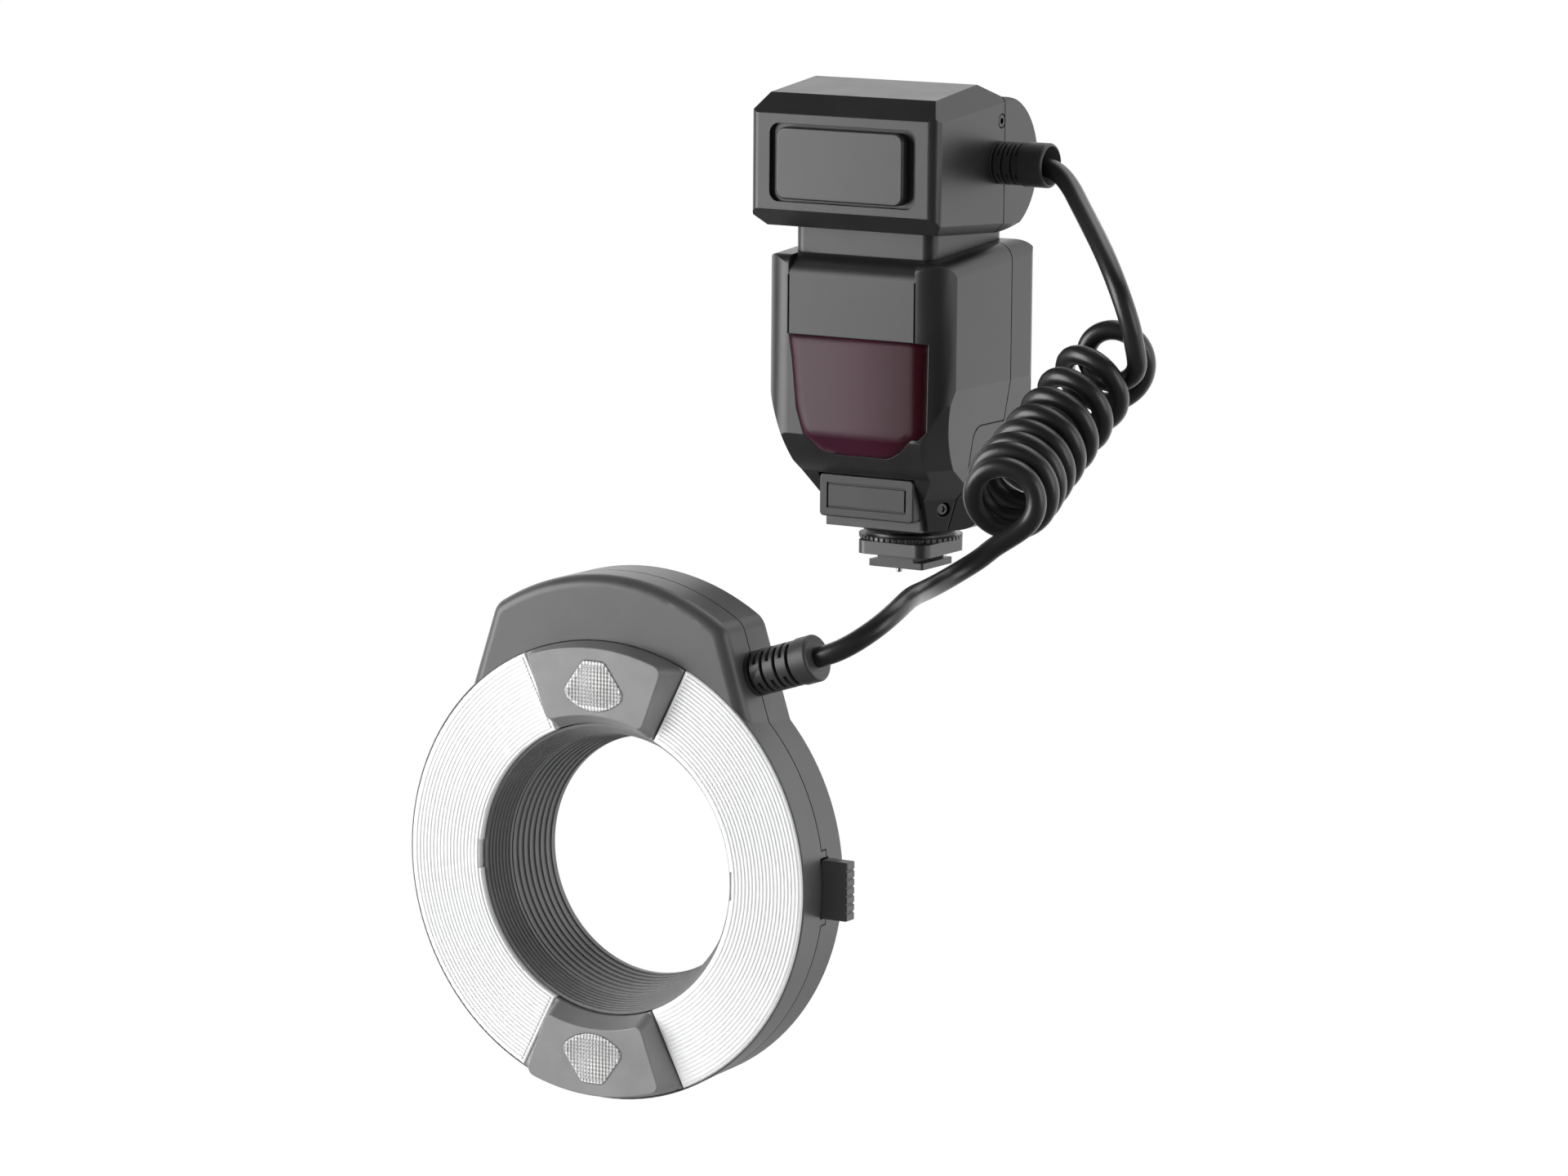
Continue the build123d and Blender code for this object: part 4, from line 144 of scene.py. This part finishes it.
def lead_points():
    """Control points of the lead's centre line, from boot to boot."""
    into, out = coil_tangent(0), coil_tangent(TURNS)
    first, last = coil_point(0) - into * CORD_D, coil_point(TURNS) + out * CORD_D
    boot_dir = Vector((cos(HOOD_LEAN), 0, sin(HOOD_LEAN)))
    boot_x = HOOD_HALF - BOOT_OVER_ROOT * sin(HOOD_LEAN) / cos(HOOD_LEAN)
    boot_root = Vector((boot_x, BOOT_Y, BOOT_Z))
    count = int(TURNS * PER_TURN)
    points = [Vector(p) for p in UPPER] + [first - into * RUN_IN, first]
    points += [coil_point(TURNS * i / count) for i in range(count + 1)]
    points += [last, last + out * RUN_IN] + [Vector(p) for p in LOWER]
    return points + [boot_root + boot_dir * (BOOT_L + RUN_IN), boot_root + boot_dir * BOOT_L]


def add_lead():
    """The lead as one round spline; the radius is the points', with a bevel of 1."""
    curve = bpy.data.curves.new("lead", "CURVE")
    curve.dimensions = "3D"
    curve.bevel_depth = 1.0
    curve.bevel_resolution = 6
    curve.resolution_u = 5
    curve.use_fill_caps = True
    points = lead_points()
    line = curve.splines.new("NURBS")
    line.points.add(len(points) - 1)
    for p, v in zip(line.points, points):
        p.co = (v.x * MM, v.y * MM, v.z * MM, 1)
        p.radius = CORD_D / 2 * MM
    line.order_u = 3
    line.use_endpoint_u = True
    lead = bpy.data.objects.new("lead", curve)
    SCENE.collection.objects.link(lead)
    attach(lead, "flash")
    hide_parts("cord_upper", "cord_coil", "cord_lower")
    return curve


lead_curve = add_lead()


# Materials
SPARK_DEPTH = 0.00006     # depth of the fine grain of moulded parts
BRUSH_DEPTH = 0.00003     # of bare metal
WINDOW_DEPTH = 0.0002     # of the flash and lamp windows
WAVE_DEPTH = 0.0004       # of the red window's slow waves
WIDE, METAL_WIDE = 55.0, 400.0        # scales of the noise that makes colour and gloss uneven
LENS_PITCH = 0.00105                  # of the lamp windows' grid in the material
RED_LEFT, RED_WIDE = -0.022, 0.046    # left edge and width of the red window


def new_material(name, **values):
    """A material, its tree and its main shader; values are the shader's inputs, with _ for a space."""
    m = bpy.data.materials.new(name)
    m.use_nodes = True
    bsdf = m.node_tree.nodes["Principled BSDF"]
    for k, v in values.items():
        bsdf.inputs[k.replace("_", " ")].default_value = v
    return m, m.node_tree, bsdf


def node(tree, kind, **values):
    """A shader node; values are inputs where the node has one of that name, else settings."""
    n = tree.nodes.new("ShaderNode" + kind)
    for k, v in values.items():
        if k in n.inputs.keys():
            n.inputs[k].default_value = v
        else:
            setattr(n, k, v)
    return n


def link(tree, a, b):
    tree.links.new(a, b)


def math_node(tree, op, a, b=None):
    n = node(tree, "Math", operation=op)
    for i, v in enumerate((a, b)):
        if v is None:
            continue
        if isinstance(v, (int, float)):
            n.inputs[i].default_value = v
        else:
            link(tree, v, n.inputs[i])
    return n.outputs[0]


def ramp(tree, fac, stops):
    """Colour ramp; a stop's colour is a grey level or three values."""
    n = node(tree, "ValToRGB")
    elements = n.color_ramp.elements
    while len(elements) < len(stops):
        elements.new(0.5)
    for e, (pos, c) in zip(elements, stops):
        e.position = pos
        e.color = (c, c, c, 1) if isinstance(c, (int, float)) else (*c, 1)
    link(tree, fac, n.inputs["Fac"])
    return n.outputs["Color"]


def axes(tree, output="Object"):
    """The three coordinates, of the object itself unless another output is asked for."""
    parts = node(tree, "SeparateXYZ")
    link(tree, node(tree, "TexCoord").outputs[output], parts.inputs[0])
    return parts.outputs


def noise(tree, scale, detail, **more):
    """Noise over the object's own coordinates."""
    n = node(tree, "TexNoise", Scale=scale, Detail=detail, **more)
    link(tree, node(tree, "TexCoord").outputs["Object"], n.inputs["Vector"])
    return n.outputs["Fac"]


def relief(tree, bsdf, height, strength, depth, edge=0.0, samples=4):
    """Fine bump on a surface, whose edges look rounded where edge gives a radius."""
    bump = node(tree, "Bump", Strength=strength, Distance=depth)
    link(tree, height, bump.inputs["Height"])
    if edge:
        soft = node(tree, "Bevel", Radius=edge, samples=samples)
        link(tree, soft.outputs["Normal"], bump.inputs["Normal"])
    link(tree, bump.outputs["Normal"], bsdf.inputs["Normal"])


def shade(color, factor):
    return tuple(min(1.0, c * factor) for c in color)


def moulded(name, color, rough=0.42, grain=0.25, scale=2600, spec=0.5, edge=0.00035):
    """Moulded plastic or rubber: fine spark grain, slightly uneven gloss, softened edges."""
    m, tree, bsdf = new_material(name, Specular_IOR_Level=spec)
    wide = noise(tree, WIDE, 3.0, Roughness=0.55)
    tint = ramp(tree, wide, [(0.3, shade(color, 0.86)), (0.7, shade(color, 1.14))])
    link(tree, tint, bsdf.inputs["Base Color"])
    gloss = ramp(tree, wide, [(0.25, rough * 0.93), (0.75, rough * 1.08)])
    link(tree, gloss, bsdf.inputs["Roughness"])
    relief(tree, bsdf, noise(tree, scale, 2.0, Roughness=0.6), grain, SPARK_DEPTH, edge)
    return m


def metal(name, color, rough=0.25):
    """Bare metal with slightly uneven colour and gloss."""
    m, tree, bsdf = new_material(name, Metallic=1.0)
    uneven = noise(tree, METAL_WIDE, 3.0)
    tint = ramp(tree, uneven, [(0.3, shade(color, 0.85)), (0.7, color)])
    link(tree, tint, bsdf.inputs["Base Color"])
    gloss = ramp(tree, uneven, [(0.3, rough * 0.8), (0.7, rough * 1.2)])
    link(tree, gloss, bsdf.inputs["Roughness"])
    relief(tree, bsdf, uneven, 0.2, BRUSH_DEPTH)
    return m


def white_window():
    """Milky flash window; its ribs are modelled."""
    m, tree, bsdf = new_material("window_white", Roughness=0.22)
    wide = noise(tree, 30.0, 2.0)
    tint = ramp(tree, wide, [(0.3, (0.94, 0.94, 0.945)), (0.7, (0.97, 0.97, 0.975))])
    link(tree, tint, bsdf.inputs["Base Color"])
    relief(tree, bsdf, wide, 0.15, WINDOW_DEPTH)
    return m


def prism_lens():
    """Clear lens with a fine grid of pyramids along X and Z; its colour follows them, with painted
    shade in their hollows and painted highlights on their crests.
    """
    m, tree, bsdf = new_material("prism_lens", Roughness=0.12, Coat_Weight=0.6)
    place = axes(tree)
    waves = [math_node(tree, "SINE", math_node(tree, "MULTIPLY", place[axis], 2 * pi / LENS_PITCH))
             for axis in ("X", "Z")]
    both = math_node(tree, "ADD", *waves)
    # painted shade and highlight: the base colour is darker where the pyramid grid is low and lighter
    # where it is high
    level = math_node(tree, "MULTIPLY", math_node(tree, "ADD", both, 2.0), 0.25)
    link(tree, ramp(tree, level, [(0.0, 0.42), (0.6, 0.70), (1.0, 0.9)]), bsdf.inputs["Base Color"])
    relief(tree, bsdf, both, 0.7, WINDOW_DEPTH)
    return m


def red_window():
    """Dark red gloss panel with painted light: paler over the left and middle, darker towards the right
    as a painted dark reflection.
    """
    m, tree, bsdf = new_material("red_window", Roughness=0.12, Specular_IOR_Level=0.18)
    along = math_node(tree, "ADD", axes(tree)["X"], -RED_LEFT)
    share = math_node(tree, "MULTIPLY", along, 1 / RED_WIDE)
    # painted light: the tint is paler over the left and middle of the window and falls to a painted
    # dark reflection at its right end
    tint = ramp(tree, share, [(0.0, (0.040, 0.010, 0.020)), (0.55, (0.046, 0.010, 0.022)),
                              (1.0, (0.024, 0.002, 0.005))])
    link(tree, tint, bsdf.inputs["Base Color"])
    relief(tree, bsdf, noise(tree, 25.0, 1.0), 0.05, WAVE_DEPTH, edge=0.0035, samples=8)
    return m


def clear_glass():
    """Clear glass of the flash tubes."""
    return new_material("tube_glass", Base_Color=(0.95, 0.97, 1.0, 1), Roughness=0.05,
                        Transmission_Weight=0.9)[0]


def lcd_face():
    """Grey-green display under a glossy window."""
    m, tree, bsdf = new_material("display", Roughness=0.08, Coat_Weight=1.0)
    tint = ramp(tree, noise(tree, 60.0, 2.0), [(0.3, (0.16, 0.18, 0.15)), (0.7, (0.20, 0.22, 0.18))])
    link(tree, tint, bsdf.inputs["Base Color"])
    return m


unit = moulded("unit_plastic", (0.018, 0.018, 0.019), rough=0.36)
unit_gloss = moulded("unit_plate", (0.022, 0.022, 0.023), rough=0.33, grain=0.2)
ring_mat = moulded("ring_plastic", (0.072, 0.072, 0.073), rough=0.40)
block_mat = moulded("block_plastic", (0.23, 0.23, 0.23), rough=0.42)
liner_mat = moulded("liner_plastic", (0.17, 0.17, 0.17), rough=0.50, edge=0.0002)
rubber = moulded("rubber", (0.018, 0.018, 0.019), rough=0.46, grain=0.4, scale=1500, edge=0.0003)
cable_mat = moulded("cable_jacket", (0.014, 0.014, 0.015), rough=0.34, grain=0.35, scale=1200, edge=0)
button_mat = moulded("button_plastic", (0.090, 0.090, 0.090), rough=0.45)
boot_mat = moulded("boot_rubber", (0.036, 0.036, 0.037), rough=0.45, grain=0.3, scale=1500, edge=0.0003)
frame_mat = moulded("frame_plastic", (0.02, 0.02, 0.02), rough=0.5)
dark_metal = moulded("dark_metal", (0.018, 0.018, 0.019), rough=0.34, grain=0.1, spec=0.6, edge=0.0002)
adapter_mat = moulded("adapter_metal", (0.16, 0.16, 0.16), rough=0.42, grain=0.1, edge=0.0002)
steel = metal("steel", (0.45, 0.45, 0.46), 0.28)
screw_black = metal("screw_black", (0.06, 0.06, 0.062), 0.32)
gold = metal("gold_plate", (0.83, 0.62, 0.27))
mirror = metal("reflector_metal", (0.9, 0.9, 0.9), 0.12)
board = moulded("solder_mask", (0.02, 0.12, 0.05), rough=0.3, edge=0)
sleeve = moulded("sleeve", (0.12, 0.12, 0.13), rough=0.25, edge=0)
keys = moulded("key_rubber", (0.06, 0.06, 0.06), rough=0.5)
window_white = white_window()
red = red_window()
prism = prism_lens()
tube_glass = clear_glass()
display = lcd_face()

LOOKS = {
    unit: ("body_front_shell", "body_rear_shell", "neck_collar", "head_front_shell", "head_rear_shell",
           "battery_door", "pedestal", "foot_plate", "power_switch"),
    unit_gloss: ("head_front_plate",),
    ring_mat: ("ring_front_shell", "ring_rear_shell"),
    button_mat: ("left_release_button", "right_release_button"),
    block_mat: ("top_lamp_block", "bottom_lamp_block"),
    liner_mat: ("bore_liner",),
    red: ("af_window",),
    window_white: ("left_diffuser", "right_diffuser"),
    prism: ("top_lamp_lens", "bottom_lamp_lens"),
    display: ("lcd_window", "lcd_module"),
    tube_glass: ("left_flash_tube", "right_flash_tube"),
    mirror: ("left_reflector", "right_reflector"),
    rubber: ("port_cover",),
    boot_mat: ("head_boot", "ring_boot"),
    cable_mat: ("cord_upper", "cord_coil", "cord_lower"),
    steel: ("door_hinge_pin", "lock_pin"),
    screw_black: ("front_screws", "head_screws", "ring_screws"),
    dark_metal: ("lock_plate", "lock_wheel", "select_dial"),
    adapter_mat: ("adapter_ring",),
    gold: ("foot_contacts", "battery_contacts", "door_contacts", "port_sockets"),
    board: ("head_board", "main_board", "lamp_boards", "trigger_board"),
    sleeve: ("aa_cells", "main_capacitor"),
    frame_mat: ("chassis", "af_lamp"),
    keys: ("mode_button", "lamp_button", "ratio_button", "set_button", "test_button"),
}
for material, names in LOOKS.items():
    for name in names:
        for place in NODES[name].material_slots:
            place.material = material
lead_curve.materials.append(cable_mat)


# Modelled relief: ribs on the flash windows, pyramids on the lamp windows
RING_Z = -0.0643          # height of the ring's axis
DIFFUSER_IN_R = 0.0412
BLOCK_HALF = 0.0160       # half width of the gap between the flash windows at that radius
BLOCK_FLARE = 0.45        # how much the half width grows with the radius
RIB_SPAN = (0.0420, 0.0637)
RIBS, RIB_RISE, RIB_STATIONS = 19, 0.00032, 72
RIB_MARGIN = 0.0012       # from the ends of the ribs to the blocks
SINK_IN = 0.00015         # how deep the relief's back lies in the window

LENS_LOW, LENS_WIDE, LENS_TOP = 0.0456, 0.0505, 0.0598    # heights over the ring's axis
LENS_HALF, LENS_TOP_HALF = 0.0103, 0.0035
LENS_MARGIN = 0.0010
PRISM_STEP, PRISM_RISE, PRISM_SHARE = 0.00115, 0.00035, 0.98
PRISM_LOW, PRISM_ROWS, PRISM_SIDE = 0.0465, 14, 10


def front_of(name):
    """The least depth of a node, where its front is."""
    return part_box(name)[0][1]


def add_mesh(name, grid, material):
    mesh = bpy.data.meshes.new(name)
    bmesh.ops.recalc_face_normals(grid, faces=grid.faces)
    grid.to_mesh(mesh)
    grid.free()
    mesh.materials.append(material)
    piece = bpy.data.objects.new(name, mesh)
    SCENE.collection.objects.link(piece)
    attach(piece, "flash")


def rib_rows(side):
    """Places (x, z, height) on the ribs: a row across them for each station round the ring."""
    inner, outer = RIB_SPAN
    pitch = (outer - inner) / RIBS
    profile = []
    for i in range(RIBS):
        profile += [(inner + i * pitch, 0.0), (inner + (i + 0.3) * pitch, RIB_RISE),
                    (inner + (i + 0.7) * pitch, RIB_RISE)]
    profile.append((outer, 0.0))
    rows = []
    for k in range(RIB_STATIONS + 1):
        row = []
        for r, h in profile:
            start = asin((BLOCK_HALF + (r - DIFFUSER_IN_R) * BLOCK_FLARE) / r) + RIB_MARGIN / r
            a = start + (pi - 2 * start) * k / RIB_STATIONS
            row.append((side * r * sin(a), r * cos(a) + RING_Z, h))
        rows.append(row)
    return rows


def window_ribs(hand, side):
    """Ribs round the ring's axis on one flash window, as one closed sheet."""
    face = front_of(hand + "_diffuser")
    grid = bmesh.new()
    rows = rib_rows(side)
    tops = [[grid.verts.new((x, face - h, z)) for x, z, h in row] for row in rows]
    feet = [[grid.verts.new((x, face + SINK_IN, z)) for x, z, h in row] for row in rows]
    spans = len(rows[0]) - 1
    for sheet in (tops, feet):
        for a, b in zip(sheet[:-1], sheet[1:]):
            for i in range(spans):
                grid.faces.new((a[i], a[i + 1], b[i + 1], b[i]))
    for k in range(RIB_STATIONS):
        for i in (0, spans):
            grid.faces.new((tops[k][i], tops[k + 1][i], feet[k + 1][i], feet[k][i]))
    for k in (0, RIB_STATIONS):
        for i in range(spans):
            grid.faces.new((tops[k][i], tops[k][i + 1], feet[k][i + 1], feet[k][i]))
    add_mesh("window_ribs_" + hand, grid, window_white)


def in_lens(x, z):
    """Whether a place lies well inside a lamp window, z up from the ring's centre."""
    if z > LENS_WIDE:
        half = LENS_HALF + (LENS_TOP_HALF - LENS_HALF) * (z - LENS_WIDE) / (LENS_TOP - LENS_WIDE)
    else:
        half = LENS_HALF * sqrt(max(0.0, (z - LENS_LOW) / (LENS_WIDE - LENS_LOW)))
    return abs(x) < half - LENS_MARGIN and LENS_LOW + LENS_MARGIN < z < LENS_TOP - LENS_MARGIN


def lens_pyramids(name, side):
    """A grid of low pyramids in front of one lamp window."""
    face = front_of(name)
    h = PRISM_STEP / 2 * PRISM_SHARE
    grid = bmesh.new()
    for i in range(-PRISM_SIDE, PRISM_SIDE + 1):
        for k in range(PRISM_ROWS):
            x, z = i * PRISM_STEP, PRISM_LOW + k * PRISM_STEP
            if not in_lens(x, z):
                continue
            corners = [(x - h, z - h), (x + h, z - h), (x + h, z + h), (x - h, z + h)]
            base = [grid.verts.new((a, face + SINK_IN, side * b + RING_Z)) for a, b in corners]
            rim = [grid.verts.new((a, face, side * b + RING_Z)) for a, b in corners]
            tip = grid.verts.new((x, face - PRISM_RISE, side * z + RING_Z))
            grid.faces.new(base)
            for a in range(4):
                b = (a + 1) % 4
                grid.faces.new((base[a], base[b], rim[b], rim[a]))
                grid.faces.new((rim[a], rim[b], tip))
    add_mesh(name + "_prisms", grid, prism)


window_ribs("left", -1)
window_ribs("right", 1)
lens_pyramids("top_lamp_lens", 1)
lens_pyramids("bottom_lamp_lens", -1)


# Studio: pale floor, soft boxes and a bright horizon
FLOOR_Z, FLOOR_HALF = -0.45, 6.0
SKY = 1.6                 # brightness of the surroundings
SKY_DEPTH = [(0.0, 0.12), (0.46, 0.20), (0.72, 0.95), (1.0, 1.0)]     # from before the object to behind
SKY_HEIGHT = [(0.0, 0.6), (0.5, 1.0), (0.72, 1.0), (0.84, 0.15), (0.96, 0.15), (1.0, 0.6)]
FLOOR_DEPTH = [(0.0, 0.12), (0.5, SKY)]
MIX_A, MIX_B, MIX_RESULT = 6, 7, 2    # a colour mix's own sockets
LIGHTS = {   # target, direction from it to the light, distance, size, watts
    "key": ((0, -0.08, 0.02), (-0.755, -0.656, 0.06), 1.6, (1.06, 1.30), 33.0),
    "top": ((0, -0.05, 0.05), (0.15, 0.55, 1.0), 1.4, (1.2, 0.8), 7.0),
    "rim": ((0, -0.05, 0.05), (0.95, -0.05, 0.15), 1.5, (0.6, 1.0), 6.0),
}


def area_light(name, target, direction, distance, size, power):
    data = bpy.data.lights.new(name, "AREA")
    data.shape = "RECTANGLE"
    data.size, data.size_y = size
    data.energy = power
    lamp = bpy.data.objects.new(name, data)
    d = Vector(direction).normalized()
    lamp.location = Vector(target) + d * distance
    lamp.rotation_euler = d.to_track_quat("Z", "Y").to_euler()
    SCENE.collection.objects.link(lamp)


def floor_material():
    """Plain white to the camera, brighter behind in reflections, and matt to all other light."""
    m, tree, bsdf = new_material("floor", Base_Color=(0.8, 0.8, 0.8, 1), Roughness=0.9)
    behind = ramp(tree, math_node(tree, "MULTIPLY", axes(tree)["Y"], 0.5), FLOOR_DEPTH)
    path = node(tree, "LightPath").outputs
    white = node(tree, "Mix", data_type="RGBA")
    link(tree, path["Is Camera Ray"], white.inputs["Factor"])
    link(tree, behind, white.inputs[MIX_A])
    white.inputs[MIX_B].default_value = (1, 1, 1, 1)
    glow = node(tree, "Emission")
    link(tree, white.outputs[MIX_RESULT], glow.inputs["Color"])
    mix = node(tree, "MixShader")
    link(tree, math_node(tree, "MAXIMUM", path["Is Camera Ray"], path["Is Glossy Ray"]), mix.inputs[0])
    link(tree, bsdf.outputs[0], mix.inputs[1])
    link(tree, glow.outputs[0], mix.inputs[2])
    link(tree, mix.outputs[0], tree.nodes["Material Output"].inputs["Surface"])
    return m


def add_floor():
    mesh = bpy.data.meshes.new("floor")
    grid = bmesh.new()
    bmesh.ops.create_grid(grid, x_segments=2, y_segments=2, size=FLOOR_HALF)
    grid.to_mesh(mesh)
    grid.free()
    mesh.materials.append(floor_material())
    floor = bpy.data.objects.new("floor", mesh)
    floor.location = (0, 0, FLOOR_Z)
    SCENE.collection.objects.link(floor)


def add_world():
    """Surroundings, white to the camera: bright behind the object, dark high up, paler overhead."""
    world = bpy.data.worlds.new("studio")
    world.use_nodes = True
    SCENE.world = world
    tree = world.node_tree
    way = axes(tree, "Generated")

    def along(axis, stops):
        share = math_node(tree, "MULTIPLY", math_node(tree, "ADD", way[axis], 1.0), 0.5)
        return ramp(tree, share, stops)

    band = node(tree, "Mix", data_type="RGBA", blend_type="MULTIPLY")
    band.inputs["Factor"].default_value = 1.0
    link(tree, along("Y", SKY_DEPTH), band.inputs[MIX_A])
    link(tree, along("Z", SKY_HEIGHT), band.inputs[MIX_B])
    mix = node(tree, "Mix", data_type="RGBA")
    link(tree, node(tree, "LightPath").outputs["Is Camera Ray"], mix.inputs["Factor"])
    link(tree, band.outputs[MIX_RESULT], mix.inputs[MIX_A])
    mix.inputs[MIX_B].default_value = (1 / SKY, 1 / SKY, 1 / SKY, 1)
    back = tree.nodes["Background"]
    link(tree, mix.outputs[MIX_RESULT], back.inputs["Color"])
    back.inputs["Strength"].default_value = SKY


add_floor()
add_world()
for name, values in LIGHTS.items():
    area_light(name, *values)
